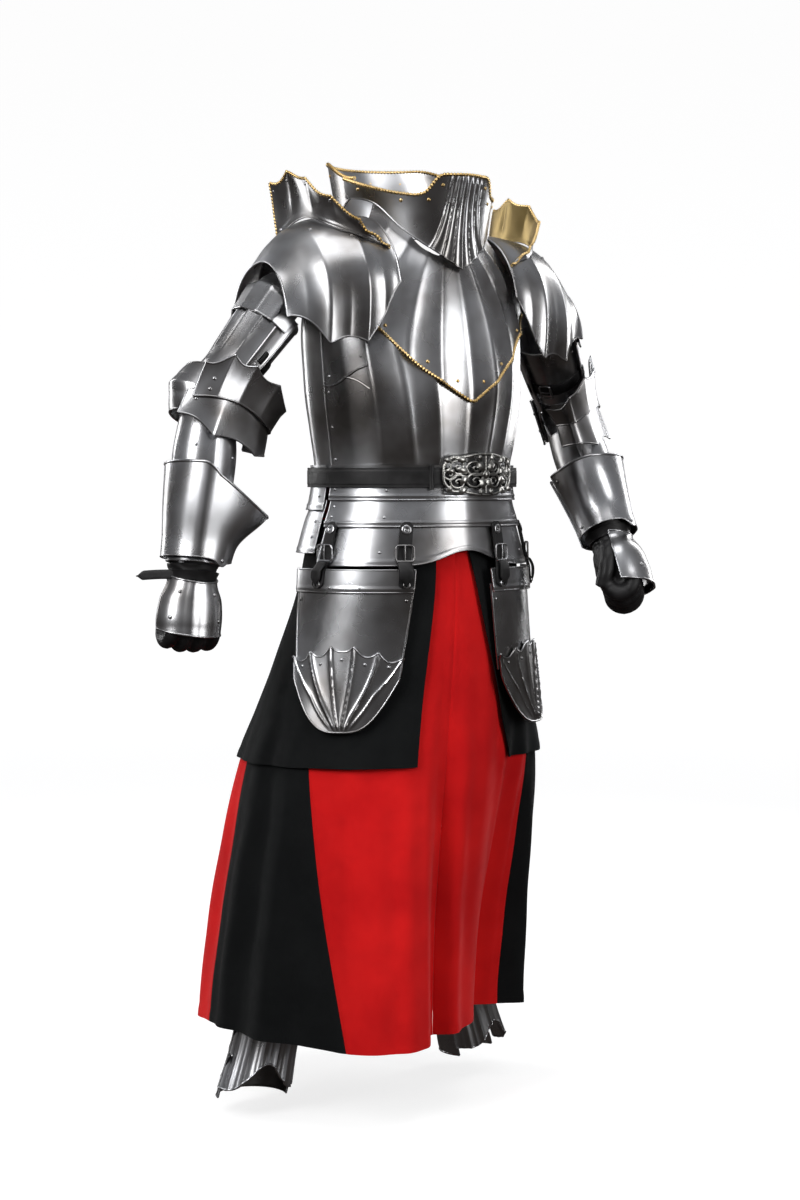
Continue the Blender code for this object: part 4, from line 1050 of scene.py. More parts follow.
# Forearms and cuffs
# A steel tube hinged along the arm, and over it the gauntlet's flared cuff with a crease down the
# outside, a rolled upper edge and a rivet at the point.
CUFF_SPAN = 160
VAMBRACE_END = {RIGHT: 0.0187, LEFT: 0.0233}
CUFF_DROP = {RIGHT: 0.068, LEFT: 0.030}
forearm_form = smooth_table(
    (0.030, 0.0430, 0.0450, 0.0440),
    (0.090, 0.0490, 0.0530, 0.0480),
    (0.160, 0.0460, 0.0500, 0.0450),
    (0.230, 0.0405, 0.0430, 0.0412),
    (0.262, 0.0432, 0.0450, 0.0432),
)
cuff_form = {
    RIGHT: smooth_table((0.108, 0.057, 0.118, 0.072), (0.170, 0.056, 0.122, 0.064),
                        (0.225, 0.053, 0.072, 0.056), (0.260, 0.053, 0.060, 0.054)),
    LEFT: smooth_table((0.112, 0.062, 0.090, 0.070), (0.160, 0.058, 0.082, 0.062),
                       (0.220, 0.053, 0.060, 0.054), (0.262, 0.052, 0.056, 0.052)),
}

for side in (RIGHT, LEFT):
    side_name = SIDE_NAMES[side]
    limb = arm_limbs(side)[2]
    body = f"forearm_{side_name}"
    middle = limb.start + limb.axis * 0.14
    bottom = limb.length - VAMBRACE_END[side]

    def vambrace(u, v):
        angle = 360 * u + 180
        turn = math.cos(math.radians(angle))
        ear = bell(abs((angle % 360) - 180), 90, 15)
        along = mix(mix(0.043 - 0.013 * turn, -EAR, ear), bottom, v)
        return limb.at(angle, along, *forearm_form(along))

    def vambrace_lift(u, v):
        crease = peak(u, 0.5, 0.02) + peak(u, 0.745, 0.02)
        return 0.0010 * crease * ramp(0.1, 0.35, v) * ramp(1.0, 0.9, v)

    def cuff(u, v):
        angle = mix(90 - CUFF_SPAN, 90 + CUFF_SPAN, u)
        table = cuff_form[side]
        first, last = table.rows[0][0], table.rows[-1][0]
        inward = ramp(-0.5, 1.0, -math.cos(math.radians(angle)))
        point = 0.010 * bell(angle, 118, 14) - 0.005
        along = mix(first + CUFF_DROP[side] * inward, last + point * ramp(0.6, 1.0, v), v)
        return limb.at(angle, along, *table(along))

    def cuff_lift(u, v):
        return 0.0024 * peak(u, 0.445, 0.06) - 0.0006

    sheet = Sheet(vambrace, 96, 40, middle, lift=vambrace_lift)
    closed(sheet.shape)
    seam = [point.lerp(limb.start + limb.axis * (point - limb.start).dot(limb.axis), -0.02)
            for point in sheet.edge("u0")]
    hinges = [(tube(seam[first:last], 0.0024), STEEL) for first, last in ((9, 15), (27, 33))]
    plate(f"forearm_plate_{side_name}", body, f"vambrace_{side_name}", sheet, ["v0", "v1"],
          [(0.25, 0.09), (0.75, 0.09), (0.86, 0.2), (0.64, 0.2)], *hinges, roll=0.0014)
    sheet = Sheet(cuff, 120, 40, middle, lift=cuff_lift)
    plate(f"cuff_plate_{side_name}", body, f"gauntlet_cuff_{side_name}", sheet, ["v0", "u0", "u1"],
          [(0.585, 0.93), *both((0.06, 0.9), (0.03, 0.12))], *rolled(sheet, "v1", radius=0.0014),
          roll=0.0026, head=BIG_RIVET)

# Hands
# A black leather glove, closed, and on the back of it a creased steel plate with rolled edges. A
# strap goes round each wrist; the end of the right one stands off behind.
CLOTH_WALL = 0.0022
HAND_PLATE_FROM, HAND_PLATE_TO = 0.004, 0.088
HAND_PLATE_SPAN, HAND_PLATE_RISE = 88, 0.0052
GLOVE_VOXEL, GLOVE_END = 0.0026, 0.015
HAND_SPREAD = {RIGHT: 0.0, LEFT: 0.15}
fist_form = smooth_table(
    (-0.016, 0.0450, 0.0460, 0.0450),
    (0.010, 0.0360, 0.0350, 0.0340),
    (0.040, 0.0460, 0.0450, 0.0370),
    (0.080, 0.0500, 0.0470, 0.0400),
    (0.106, 0.0400, 0.0400, 0.0330),
    (0.120, 0.0140, 0.0140, 0.0120),
)
palm_form = smooth_table(
    (-0.030, 0.0450, 0.0460, 0.0450),
    (0.010, 0.0355, 0.0345, 0.0335),
    (0.040, 0.0440, 0.0430, 0.0340),
    (0.075, 0.0455, 0.0430, 0.0330),
    (0.100, 0.0340, 0.0330, 0.0240),
)


def larger(side, along):
    """How much the left hand, half open, spreads beyond the form of the closed one."""
    return HAND_SPREAD[side] * ramp(0.015, 0.05, along)


def glove(limb, side):
    """The leather skin of a closed hand: palm, four curled fingers and a thumb, melted together."""
    palm = bmesh.new()
    bmesh.ops.create_grid(palm, x_segments=40, y_segments=40, size=0.5)
    for vert in palm.verts:
        along = mix(-0.030, 0.100, vert.co.y + 0.5)
        vert.co = limb.at(360 * (vert.co.x + 0.5), along, *palm_form(along))
    parts = [capped(palm)]
    for k in range(4):
        fore = mix(-0.034, 0.034, k / 3)
        reach = (0.0, 0.004, 0.005, 0.001)[3 - k]
        path = []
        for j in range(19):
            turn = math.radians(mix(-20, 232, j / 18))
            along = 0.086 + reach + 0.019 * math.sin(turn)
            path.append(limb.start + limb.axis * along + limb.bend * fore
                        + limb.hinge * (0.019 * math.cos(turn) - 0.001))
        parts.append(tube(path, lambda t: 0.0132 - 0.0016 * t, around=16))
    path = []
    for j in range(13):
        t = j / 12
        path.append(limb.start + limb.axis * mix(0.020, 0.088, t) - limb.hinge * (0.006 + 0.024 * t * t)
                    + limb.bend * (0.028 + 0.017 * math.sin(2.6 * t)))
    parts.append(tube(path, lambda t: 0.0150 - 0.0035 * t, around=16))
    solid = bmesh.new()
    for shape in parts:
        add_shape(solid, shape)
    skin = modified(solid, "REMESH", mode="VOXEL", voxel_size=GLOVE_VOXEL)
    skin = modified(skin, "SMOOTH", factor=0.5, iterations=3)
    skin.normal_update()
    for vert in skin.verts:
        off = vert.co - limb.start
        along, fore, out = off.dot(limb.axis), off.dot(limb.bend), off.dot(limb.hinge)
        turn = math.atan2(out, fore)
        wrist = bell(along, 0.012, 0.020)
        wave = math.sin(520 * along + 2.2 * math.sin(turn * 2 + 1) + 1.4 * math.sin(turn * 5))
        knuckle = math.sin(300 * along + 3 * math.sin(3 * turn)) * bell(along, 0.06, 0.03)
        seam = bell(out, 0, 0.0015) * ramp(0.0, 0.03, along)
        vert.co += (vert.co - limb.start - limb.axis * GLOVE_END) * larger(side, along)
        vert.co += vert.normal * (0.0015 * wrist * wave + 0.0005 * knuckle - 0.0006 * seam)
    bmesh.ops.bisect_plane(skin, geom=skin.verts[:] + skin.edges[:] + skin.faces[:], clear_inner=True,
                           plane_co=limb.start - limb.axis * GLOVE_END, plane_no=limb.axis)
    shell = modified(skin, "SOLIDIFY", thickness=CLOTH_WALL, offset=-1)
    shell.loops.layers.uv.new("weave")
    return shell


for side in (RIGHT, LEFT):
    side_name = SIDE_NAMES[side]
    lower_arm = arm_limbs(side)[2]
    wrist, knuckles = ARM[side][2:]
    limb = Limb(wrist, knuckles, lower_arm.hinge, lower_arm.bend)
    body = f"forearm_{side_name}"
    middle = wrist + limb.axis * 0.05
    piece(f"leather_glove_{side_name}", body, (glove(limb, side), BLACK_LEATHER),
          node=f"glove_{side_name}", slot="black_leather")

    def hand_plate(u, v):
        angle = mix(90 - HAND_PLATE_SPAN, 90 + HAND_PLATE_SPAN, u)
        along = mix(HAND_PLATE_FROM, HAND_PLATE_TO, v) + 0.010 * math.sin(math.pi * u)
        more = larger(side, along)
        rise = HAND_PLATE_RISE + 0.02 * more
        reaches = (reach * (1 + more) + rise for reach in fist_form(min(along, 0.085)))
        return limb.at(angle, along + (along - GLOVE_END) * more, *reaches)

    def hand_lift(u, v):
        return 0.0018 * peak(u, 0.40, 0.07) + 0.0004

    sheet = Sheet(hand_plate, 90, 36, middle, lift=hand_lift)
    plate(f"hand_plate_dressed_{side_name}", body, f"hand_plate_{side_name}", sheet, ALL_EDGES,
          [(0.68, 0.22), (0.74, 0.72), (0.26, 0.22), (0.2, 0.72)], head=BIG_RIVET)

    def wrist_strap(u, v):
        along = mix(-0.004, 0.010, u)
        return limb.at(360 * v, along, *(reach + 0.0030 for reach in fist_form(along)))

    parts = [(closed(Sheet(wrist_strap, 8, 96, middle, wall=0.0022).shape), BLACK_LEATHER)]
    if side == RIGHT:
        root = limb.at(20, 0.003, *(reach + 0.0035 for reach in fist_form(0.003)))
        away = Vector((-0.819, 0.574, 0.02)).normalized()

        def strap_tip(u, v):
            width = 0.0075 * (1 - ramp(0.80, 1.0, v) * 0.92)
            sag = Vector((0, 0, -0.004 * v * v))
            return root + away * (0.058 * v) + limb.axis * ((2 * u - 1) * width) + sag

        parts.append(strap(strap_tip, 8, 30, root + Vector((0.3, 0.4, 0)), 0.0022))
    piece(f"wrist_strap_{side_name}", body, *parts, slot="black_leather")

# Skirt
# Five long gores of cotton twill, red before and behind and black at the sides, sewn with felled
# seams into one tube that opens out from the waist to a turned hem.
SKIRT_TOP, SKIRT_HEM = 0.978, 0.135
SKIRT_CENTRE = Vector((0, 0.06, 0.5))
FOLDS = (
    (-152, 14, 0.020), (-120, 12, 0.016), (-92, 9, 0.010), (-70, 12, 0.014), (-38, 12, 0.012),
    (-5, 10, -0.045), (16, 9, 0.020), (34, 9, -0.030), (58, 12, 0.012), (88, 12, 0.016),
    (118, 12, 0.018), (148, 12, 0.020), (176, 12, 0.020),
)
FOLD_START, FOLD_FULL = 0.80, 0.20
LEG_FORWARD, LEG_BACK = 0.050, 0.135
GORE_GAP = 0.012
skirt_form = smooth_table(
    (0.130, 0.284, 0.260, 0.270, 0.004, 0.125),
    (0.350, 0.276, 0.225, 0.262, 0.0, 0.085),
    (0.575, 0.262, 0.184, 0.245, 0.0, 0.040),
    (0.660, 0.238, 0.172, 0.216, 0.0, 0.030),
    (0.750, 0.216, 0.165, 0.178, 0.0, 0.020),
    (0.860, 0.190, 0.152, 0.146, 0.0, 0.004),
    (0.930, 0.182, 0.146, 0.133, 0.0, 0.0),
    (0.978, 0.1725, 0.1435, 0.1265, 0.0, 0.0),
)


def twill(name, dark, light, sheen, threads=260):
    """Woven cotton: a slanting rib from the piece's own weave map, slubs, creases and a soft sheen."""
    look, nodes, links, shader = new_look(name)
    weave = nodes.new("ShaderNodeUVMap")
    weave.uv_map = "weave"
    ribs = []
    for turn in (0.9, -0.9):
        mapping = nodes.new("ShaderNodeMapping")
        mapping.inputs["Rotation"].default_value = (0, 0, turn)
        wave = nodes.new("ShaderNodeTexWave")
        wave.inputs["Scale"].default_value = threads
        wave.inputs["Distortion"].default_value = 0.6
        wave.inputs["Detail"].default_value = 1.0
        links.new(weave.outputs["UV"], mapping.inputs["Vector"])
        links.new(mapping.outputs["Vector"], wave.inputs["Vector"])
        ribs.append(wave.outputs["Fac"])
    rib = nodes.new("ShaderNodeMath")
    rib.operation = "MULTIPLY"
    for number, one in enumerate(ribs):
        links.new(one, rib.inputs[number])
    tint = nodes.new("ShaderNodeMix")
    tint.data_type = "RGBA"
    tint.blend_type = "MULTIPLY"
    tint.inputs["Factor"].default_value = 0.35
    slubs, dullness, creases = (noise(nodes, links, *scale) for scale in ((9, 8), (40, 4), (13, 6)))
    shade = tones(nodes, links, rib.outputs["Value"], (0.0, (0.55, 0.55, 0.55)), (0.6, (1, 1, 1)))
    links.new(tones(nodes, links, slubs, (0.30, dark), (0.70, light)), tint.inputs["A"])
    links.new(shade, tint.inputs["B"])
    links.new(tint.outputs["Result"], shader.inputs["Base Color"])
    links.new(band(nodes, links, dullness, 0.72, 0.92), shader.inputs["Roughness"])
    shader.inputs["Sheen Weight"].default_value = sheen
    shader.inputs["Sheen Roughness"].default_value = 0.4
    shader.inputs["Specular IOR Level"].default_value = 0.12
    relief(nodes, links, shader, (creases, 0.65, 0.0050), (rib.outputs["Value"], 0.35, 0.0005))
    return look


CLOTH = {
    "red_cloth": twill("red_cloth", (0.62, 0.005, 0.007), (0.84, 0.012, 0.012), 0.08),
    "black_cloth": twill("black_cloth", (0.0042, 0.0048, 0.0052), (0.0080, 0.0088, 0.0092), 0.03),
}
# Each gore's edges in degrees at the waist and the hem, its cloth, its columns, and its flat size.
GORES = (
    ("skirt_front_right", -80, -43, -4, -4, "red_cloth", 88, (0.260, 0.859), 0.204),
    ("skirt_front_left", -4, -4, 52, 46, "red_cloth", 88, (0.302, 0.862), 0.200),
    ("skirt_side_left", 52, 46, 120, 142, "black_cloth", 104, (0.430, 0.888), 0.262),
    ("skirt_back", 120, 142, 248, 254, "red_cloth", 152, (0.599, 0.899), 0.452),
    ("skirt_side_right", 248, 254, 280, 317, "black_cloth", 72, (0.333, 0.864), 0.163),
)


def skirt_point(angle, height, lift=0.0):
    """A point on the skirt's outer face."""
    side, front, back, across, behind = skirt_form(height)
    spread_out = 1 - ramp(FOLD_FULL, FOLD_START, height)
    fold = 0.0
    for centre, half, depth in FOLDS:
        away = abs((angle - centre + 180) % 360 - 180)
        if away < half:
            fold += depth * (0.5 + 0.5 * math.cos(math.pi * away / half))
    out = lift + fold * spread_out
    x, y = ring(angle, side + out, front + out, back + out)
    low = 1 - ramp(0.15, 0.75, height)
    facing = max(0.0, math.cos(math.radians(angle)))
    y -= LEG_FORWARD * low * facing * bell(x, -0.16, 0.11)
    y += LEG_BACK * low * facing * bell(x, 0.17, 0.13)
    return Vector((x + across, y + behind, height))


def crease(angle, height):
    """Small folds and pulls over the main ones, which fade towards the seams at the waist."""
    turn = math.radians(angle)
    drift = 0.9 * math.sin(3.1 * height + 2.0 * turn) + 0.5 * math.sin(7.3 * height - turn)
    hanging = math.sin(13 * turn + 1.4 * drift) * 0.0035 + math.sin(29 * turn + 2.3 * drift) * 0.0011
    pulls = math.sin(41 * height + 5 * math.sin(6 * turn) + 3 * turn) * 0.0006
    return (hanging * ramp(0.95, 0.45, height) + pulls) * 0.8


def turned_hem(to_foot, deep):
    """How far a hem stands up from the cloth above it, with its line of stitches at the top."""
    return 0.0006 * ramp(deep, deep - 0.003, to_foot) - 0.0004 * bell(to_foot, deep, 0.0018)


for name, waist_from, hem_from, waist_to, hem_to, look, columns, flat, area in GORES:

    def gore(u, v):
        start = mix(waist_from, hem_from, v) + GORE_GAP
        angle = mix(start, mix(waist_to, hem_to, v) - GORE_GAP, u)
        hem = SKIRT_HEM + 0.006 * math.sin(math.radians(3 * angle))
        height = mix(SKIRT_TOP, hem, v)
        return skirt_point(angle, height, crease(angle, height))

    def gore_lift(u, v):
        seam = to_edge(u) * flat[0]
        folded = -0.0010 * bell(seam, 0, 0.0022) + 0.0005 * ramp(0.016, 0.013, seam)
        return folded + turned_hem((1 - v) * flat[1], 0.024)

    sheet = Sheet(gore, columns, 100, SKIRT_CENTRE, wall=CLOTH_WALL, lift=gore_lift, flat=flat)
    made = piece(f"{name}_gore", "suit", (sheet.shape, CLOTH[look]), node=name, slot=look)

# Overskirt
# One short piece of black cotton round the hips, open at the front, with a turned hem.
OVERSKIRT_TOP, OVERSKIRT_HEM = 0.975, 0.582
OVERSKIRT_FROM, OVERSKIRT_TO = (0, 28), (345, 341)
OVERSKIRT_LIFT, OVERSKIRT_WAIST_LIFT = 0.007, 0.0032
OVERSKIRT_FLAT, OVERSKIRT_AREA = (1.342, 0.431), 0.459


def overskirt(u, v):
    angle = mix(mix(*OVERSKIRT_FROM, v), mix(*OVERSKIRT_TO, v), u)
    height = mix(OVERSKIRT_TOP, OVERSKIRT_HEM, v)
    ruffle = 0.002 * v * math.sin(math.radians(angle * 6)) + 0.9 * crease(angle, height) * v
    lift = mix(OVERSKIRT_WAIST_LIFT, OVERSKIRT_LIFT, ramp(0, 0.3, v))
    return skirt_point(angle, height, lift + ruffle)


def overskirt_lift(u, v):
    return turned_hem(min((1 - v) * OVERSKIRT_FLAT[1], to_edge(u) * OVERSKIRT_FLAT[0]), 0.020)


sheet = Sheet(overskirt, 330, 60, SKIRT_CENTRE, wall=CLOTH_WALL, lift=overskirt_lift, flat=OVERSKIRT_FLAT)
made = piece("overskirt_cloth", "suit", (sheet.shape, CLOTH["black_cloth"]), node="overskirt",
             slot="black_cloth")

# Tassets
# A steel plate over each thigh in three parts: a top lame, a main plate, and a scalloped plate with
# ribs that curve together at its foot, held by small rivets.
TASSET_SPAN = {RIGHT: ((-97, -27), (-69, -31)), LEFT: ((12, 78), (20, 66))}
TASSET_TOP, TASSET_LAME, TASSET_MAIN = 0.898, 0.862, 0.745
FAN_HIGH, FAN_SIDE, FAN_LOW = 0.780, 0.722, 0.640
FAN_RIBS = 5
tasset_form = smooth_table(
    (0.600, 0.274, 0.202, 0.250, 0.0, 0.037),
    (0.660, 0.256, 0.190, 0.235, 0.0, 0.030),
    (0.750, 0.232, 0.183, 0.196, 0.0, 0.020),
    (0.863, 0.211, 0.172, 0.160, 0.0, 0.004),
    (0.905, 0.205, 0.166, 0.154, 0.0, 0.0),
)

for side in (RIGHT, LEFT):
    side_name = SIDE_NAMES[side]
    body = f"tasset_{side_name}"
    hip = Vector((0, 0, 0.8))

    def tasset_point(u, height, lift=0.0):
        (top_from, top_to), (foot_from, foot_to) = TASSET_SPAN[side]
        down = (TASSET_TOP - height) / (TASSET_TOP - FAN_LOW)
        angle = mix(mix(top_from, foot_from, down), mix(top_to, foot_to, down), u)
        wide, front, back, across, behind = tasset_form(height)
        x, y = ring(angle, wide + lift, front + lift, back + lift)
        return Vector((x + across, y + behind, height))

    def upper(u, v):
        return tasset_point(u, mix(TASSET_TOP, TASSET_LAME, v), LAYER)

    def main(u, v):
        low = TASSET_MAIN - 0.012 * (2 * u - 1) ** 2
        return tasset_point(u, mix(TASSET_LAME + 0.012, low, v))

    def fan(u, v):
        cusp = 0.012 * cusps(u, FAN_RIBS) ** 0.9
        low = mix(FAN_LOW, FAN_SIDE, abs(2 * u - 1) ** 3.2)
        high = FAN_HIGH - 0.022 * abs(2 * u - 1) - cusp
        return tasset_point(u, mix(high, low, v), LAYER)

    def fan_lift(u, v):
        pinch = 1 - 0.86 * v**1.7
        across = (u - 0.5) / pinch
        nearest = round(across * FAN_RIBS + 0.5) - 0.5
        inside = ramp(2.6, 2.4, abs(nearest))
        away = (across * FAN_RIBS - nearest) / FAN_RIBS * pinch
        crease = 0.0034 * math.exp(-abs(away) / 0.016) + 0.0012 * bell(away, 0, 0.008)
        return crease * inside * ramp(1.0, 0.90, v) + 0.0010 * ramp(0.94, 1.0, abs(2 * u - 1))

    deep = TASSET_TOP - TASSET_LAME
    sheet = Sheet(upper, 96, 20, hip, lift=lambda u, v: 0.0012 * bell((1 - v) * deep, 0.006, 0.0015))
    plate(f"tasset_top_{side_name}", body, f"tasset_upper_{side_name}", sheet, ALL_EDGES,
          both((0.38, 0.8)), roll=0.0016, head=0.0026)
    plate(f"tasset_plate_{side_name}", body, f"tasset_main_{side_name}", Sheet(main, 96, 48, hip),
          ["u0", "u1"], both((0.04, 0.18)), roll=0.0022, head=0.0030)
    plate(f"tasset_shell_{side_name}", body, f"tasset_fan_{side_name}",
          Sheet(fan, 150, 56, hip, lift=fan_lift), ALL_EDGES,
          [((k + 0.5) / FAN_RIBS, 0.10) for k in range(FAN_RIBS)], head=0.0030)

# Hangers
# Each tasset hangs by two black leather straps. The upper strap is riveted to the hoop through a
# large steel washer and carries the buckle; the lower one is riveted to the tasset and its end
# lies over it.
HANGERS = (("right_side", -76), ("right_front", -31), ("left_front", 18), ("left_side", 65))
HANGER_HALF = 0.011
HANGER_TOP, HANGER_BAR, HANGER_FOOT = 0.975, 0.911, 0.868
HANGER_SLACK, HANGER_GAP = 0.0006, 0.0008
HANGER_LIFT = HANGER_GAP + LEATHER_WALL - 0.9 * LAYER


def washer(place, out, radius):
    """A flat steel washer with a turned rim and a riveted tube in its middle."""
    across = out.orthogonal().normalized()
    up = out.cross(across)
    profile = ((0.0001, 0.0018), (0.24, 0.0024), (0.30, 0.0008), (0.36, 0.0014), (0.88, 0.0016),
               (1.0, 0.0010), (1.0, -0.0004))
    shape = bmesh.new()
    bmesh.ops.create_grid(shape, x_segments=28, y_segments=len(profile) - 1, size=0.5)
    shape.loops.layers.uv.new("weave")
    for vert in shape.verts:
        turn = (vert.co.x + 0.5) * math.tau
        reach, rise = profile[round((vert.co.y + 0.5) * (len(profile) - 1))]
        vert.co = place + (across * math.cos(turn) + up * math.sin(turn)) * reach * radius + out * rise
    return capped(shape)


def outward(point):
    """The level direction from the middle of the suit to the point."""
    return Vector((point.x, point.y, 0)).normalized()


for name, angle in HANGERS:
    hip = Vector((0, 0, 0.9))
    half_turn = math.degrees(HANGER_HALF / (0.5 * (torso_form(0.94)[0] + 0.165)))

    def upper_strap(u, v):
        narrow = 1 - 0.55 * (1 - ramp(0, 0.13, v)) ** 2
        height = mix(HANGER_TOP, HANGER_BAR + HANGER_SLACK, v)
        point = torso(angle + (2 * u - 1) * half_turn * narrow, height)
        return point + outward(point) * HANGER_LIFT

    def lower_strap(u, v):
        height = mix(HANGER_BAR, HANGER_FOOT, v)
        narrow = 1 - 0.6 * ramp(0.80, 1.0, v) ** 2
        here = angle + (2 * u - 1) * half_turn * narrow
        point = torso(here, height)
        start = point + outward(point) * HANGER_LIFT
        wide, front, back, across, behind = tasset_form(height)
        lift = LAYER + HANGER_GAP + LEATHER_WALL
        x, y = ring(here, wide + lift, front + lift, back + lift)
        return start.lerp(Vector((x + across, y + behind, height)), min(1.0, 3 * v))

    def tail(u, v):
        narrow = 1 - 0.86 * ramp(0.62, 1.0, v)
        place = 0.5 + (u - 0.5) * 0.86 * narrow
        low = lower_strap(place, 0.93 * v)
        return low + outward(low) * (0.0030 + 0.0045 * math.sin(math.pi * mix(0.15, 1.0, v)))

    top = Sheet(upper_strap, 10, 40, hip, wall=LEATHER_WALL)
    foot = Sheet(lower_strap, 10, 30, hip, wall=LEATHER_WALL)
    spot, out = top.spot(0.5, 0.20)
    clasp, facing = top.spot(0.5, 0.80)
    bars = buckle(clasp + facing * 0.0006, facing, Vector((0, 0, 1)), 0.030, 0.026, 0.0016)
    piece(f"strap_{name}", "suit", (top.shape, BLACK_LEATHER), (washer(spot, out, 0.0078), STEEL), *bars,
          node=f"hanger_{name}", slot="black_leather")
    spot, out = foot.spot(0.5, 0.86)
    piece(f"strap_end_{name}", f"tasset_{name.split('_')[0]}", (foot.shape, BLACK_LEATHER),
          (washer(spot, out, 0.0062), STEEL), strap(tail, 8, 40, hip, 0.0022),
          node=f"hanger_buckle_{name}", slot="black_leather")

# Greaves
# Two fluted steel halves round each shin, hinged on the inner side and laced with a black cord on
# the outer one, arched over the instep, with a turned lower edge.
GREAVE = {
    RIGHT: (Vector((-0.250, 0.110, 0.0)), Vector((0.120, 0.000, 0)), -18),
    LEFT: (Vector((0.262, 0.165, 0.0)), Vector((-0.125, 0.000, 0)), 22),
}
GREAVE_TOP, GREAVE_FOOT = 0.43, 0.045
GREAVE_ARCH, GREAVE_SEAM = 0.045, 84
LACE_ROWS = 7
shin_form = smooth_table(
    (0.040, 0.058, 0.064, 0.062),
    (0.120, 0.052, 0.056, 0.058),
    (0.250, 0.060, 0.062, 0.074),
    (0.360, 0.068, 0.066, 0.082),
    (0.430, 0.062, 0.064, 0.070),
)

for side in (RIGHT, LEFT):
    side_name = SIDE_NAMES[side]
    ankle, lean, toes = GREAVE[side]
    inside = ankle + lean * 0.5 + Vector((0, 0, 0.25))

    def shin(angle, height):
        x, y = ring(angle, *shin_form(height))
        turn = math.radians(toes)
        s, c = math.sin(turn), math.cos(turn)
        return ankle + lean * (height / GREAVE_TOP) + Vector((x * c - y * s, x * s + y * c, height))

    def greave_front(u, v):
        angle = mix(-GREAVE_SEAM, GREAVE_SEAM, u)
        foot = GREAVE_FOOT + GREAVE_ARCH * bell(angle, 0, 34)
        return shin(angle, mix(GREAVE_TOP, foot, v))

    def greave_back(u, v):
        inner, outer = GREAVE_SEAM + 0.6, GREAVE_SEAM + 4
        first, last = (inner, 360 - outer) if side == RIGHT else (outer, 360 - inner)
        return shin(mix(first, last, u), mix(GREAVE_TOP - 0.01, GREAVE_FOOT - 0.015, v))

    def greave_lift(u, v):
        return flute(u, 7, 0.0038) * ramp(0.35, 0.6, v) + flute(u, 14, 0.0012) * ramp(0.5, 0.8, v)

    sheet = Sheet(greave_front, 126, 56, inside, lift=greave_lift)
    near, far = (0.03, 0.97) if side == RIGHT else (0.97, 0.03)
    plate(f"shin_front_{side_name}", "suit", f"greave_front_{side_name}", sheet, ALL_EDGES,
          [(far, (k + 0.5) / 6) for k in range(6)], head=0.0026)
    rear = Sheet(greave_back, 96, 56, inside)
    plate(f"shin_back_{side_name}", "suit", f"greave_back_{side_name}", rear)
    lace, eyelets = [], []
    for k in range(LACE_ROWS * 2 + 1):
        v = mix(0.05, 0.93, k / (LACE_ROWS * 2))
        one, out_one = sheet.spot(near, v)
        two, out_two = rear.spot(far, v)
        place, out = (one, out_one) if k % 2 else (two, out_two)
        lace.append(place + out * 0.0028)
        eyelets += [dome(one, out_one, 0.0032, 0.5), dome(two, out_two, 0.0032, 0.5)] if k % 2 else []
    fine = []
    for a, b in zip(lace, lace[1:]):
        off = (a.lerp(b, 0.5) - inside).normalized() * 0.0022
        fine += [a.lerp(b, t / 8) + off * math.sin(math.pi * t / 8) for t in range(8)]
    piece(f"shin_lace_{side_name}", "suit", (tube(fine, 0.0016, around=7), BLACK_LEATHER),
          *[(shape, STEEL) for shape in eyelets], slot="black_leather")

# Studio
# A pale floor and backdrop with large soft lights. The backdrop isn't mirrored in the steel, so the
# plates show the lights against a grey room.
FLOOR = -HOLD_HEIGHT
backdrop, nodes, links, shader = new_look("studio_sweep")
shader.inputs["Base Color"].default_value = (0.34, 0.34, 0.34, 1)
shader.inputs["Roughness"].default_value = 0.8
shader.inputs["Emission Color"].default_value = (1, 1, 1, 1)
place = nodes.new("ShaderNodeNewGeometry")
distance = nodes.new("ShaderNodeVectorMath")
distance.operation = "LENGTH"
links.new(place.outputs["Position"], distance.inputs[0])
glow = nodes.new("ShaderNodeMapRange")
for key, value in (("From Min", 2.0), ("From Max", 8.0), ("To Min", 0.76), ("To Max", 0.92)):
    glow.inputs[key].default_value = value
links.new(distance.outputs["Value"], glow.inputs["Value"])
links.new(glow.outputs["Result"], shader.inputs["Emission Strength"])

SWEEP_FLAT, SWEEP_BEND, SWEEP_HIGH = 14.0, 5.0, 20.0
sweep_profile = [(SWEEP_FLAT * k / 8, 0.0) for k in range(8)]
for k in range(13):
    turn = math.pi / 2 * k / 12
    sweep_profile.append((SWEEP_FLAT + SWEEP_BEND * math.sin(turn), SWEEP_BEND * (1 - math.cos(turn))))
sweep_profile.append((SWEEP_FLAT + SWEEP_BEND, SWEEP_HIGH))
sweep_mesh = bpy.data.meshes.new("sweep")
shape = bmesh.new()
bmesh.ops.create_grid(shape, x_segments=96, y_segments=len(sweep_profile) - 1, size=0.5)
for vert in shape.verts:
    turn = (vert.co.x + 0.5) * math.tau
    reach, rise = sweep_profile[round((vert.co.y + 0.5) * (len(sweep_profile) - 1))]
    vert.co = (reach * math.cos(turn), reach * math.sin(turn), FLOOR + rise)
bmesh.ops.remove_doubles(shape, verts=shape.verts, dist=1e-5)
for face in shape.faces:
    face.smooth = True
shape.to_mesh(sweep_mesh)
shape.free()
sweep_mesh.materials.append(backdrop)
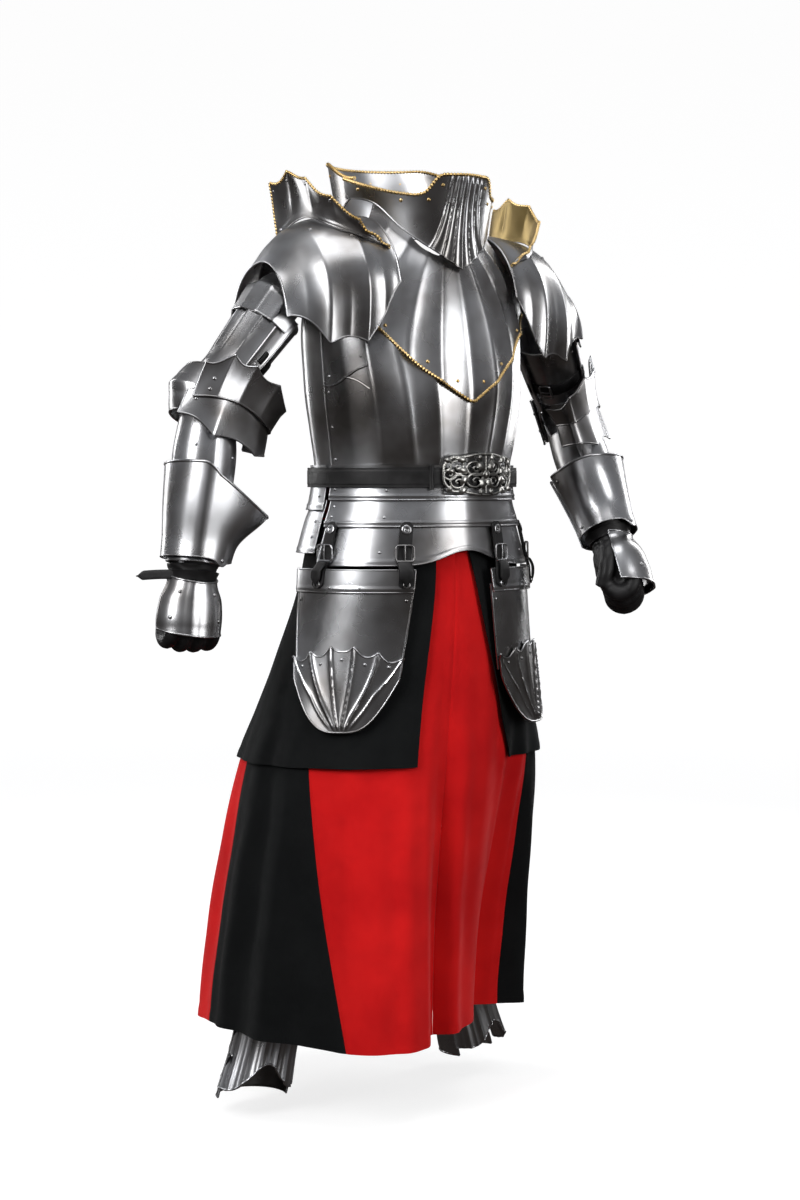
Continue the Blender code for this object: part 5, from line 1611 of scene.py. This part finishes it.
sweep = bpy.data.objects.new("sweep", sweep_mesh)
scene.collection.objects.link(sweep)
sweep.visible_glossy = False
sweep.visible_diffuse = False
sweep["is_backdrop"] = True

world = bpy.data.worlds.new("room")
scene.world = world
world.use_nodes = True
nodes, links = world.node_tree.nodes, world.node_tree.links
heading = nodes.new("ShaderNodeTexCoord")
height = nodes.new("ShaderNodeSeparateXYZ")
links.new(heading.outputs["Generated"], height.inputs["Vector"])
level = nodes.new("ShaderNodeMapRange")
level.inputs["From Min"].default_value = -1.0
links.new(height.outputs["Z"], level.inputs["Value"])
room = tones(nodes, links, level.outputs["Result"], (0.30, (0.060, 0.050, 0.046)),
             (0.50, (0.105, 0.100, 0.098)), (0.62, (0.30, 0.30, 0.31)), (1.0, (0.42, 0.43, 0.45)))
links.new(room, nodes["Background"].inputs["Color"])
nodes["Background"].inputs["Strength"].default_value = 0.8


def soft_light(name, turn, height, away, wide, tall, power):
    """A large soft lamp, turned round the suit from the camera's side and aimed at the belt."""
    data = bpy.data.lights.new(name, "AREA")
    data.shape = "RECTANGLE"
    data.size, data.size_y = wide, tall
    data.energy = power
    lamp = bpy.data.objects.new(name, data)
    scene.collection.objects.link(lamp)
    angle = VIEW_TURN + math.radians(turn)
    lamp.location = (away * math.sin(angle), -away * math.cos(angle), height - HOLD_HEIGHT)
    aim = Vector((0, 0, VIEW_HEIGHT - HOLD_HEIGHT)) - lamp.location
    lamp.rotation_euler = aim.to_track_quat("-Z", "Y").to_euler()


soft_light("key", -38, 2.6, 3.2, 1.3, 2.2, 100)
soft_light("fill", 55, 1.7, 3.4, 1.1, 2.4, 52)
soft_light("top", 10, 4.2, 0.8, 2.2, 2.2, 48)
soft_light("rim_left", 140, 1.9, 3.2, 0.6, 2.4, 34)
soft_light("rim_right", -125, 1.9, 3.2, 0.6, 2.4, 34)
scene.view_settings.view_transform = "Standard"

seen_low, seen_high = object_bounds()
sizes = {"cad": [list(cad_low), list(cad_high)], "visual": [list(seen_low), list(seen_high)]}
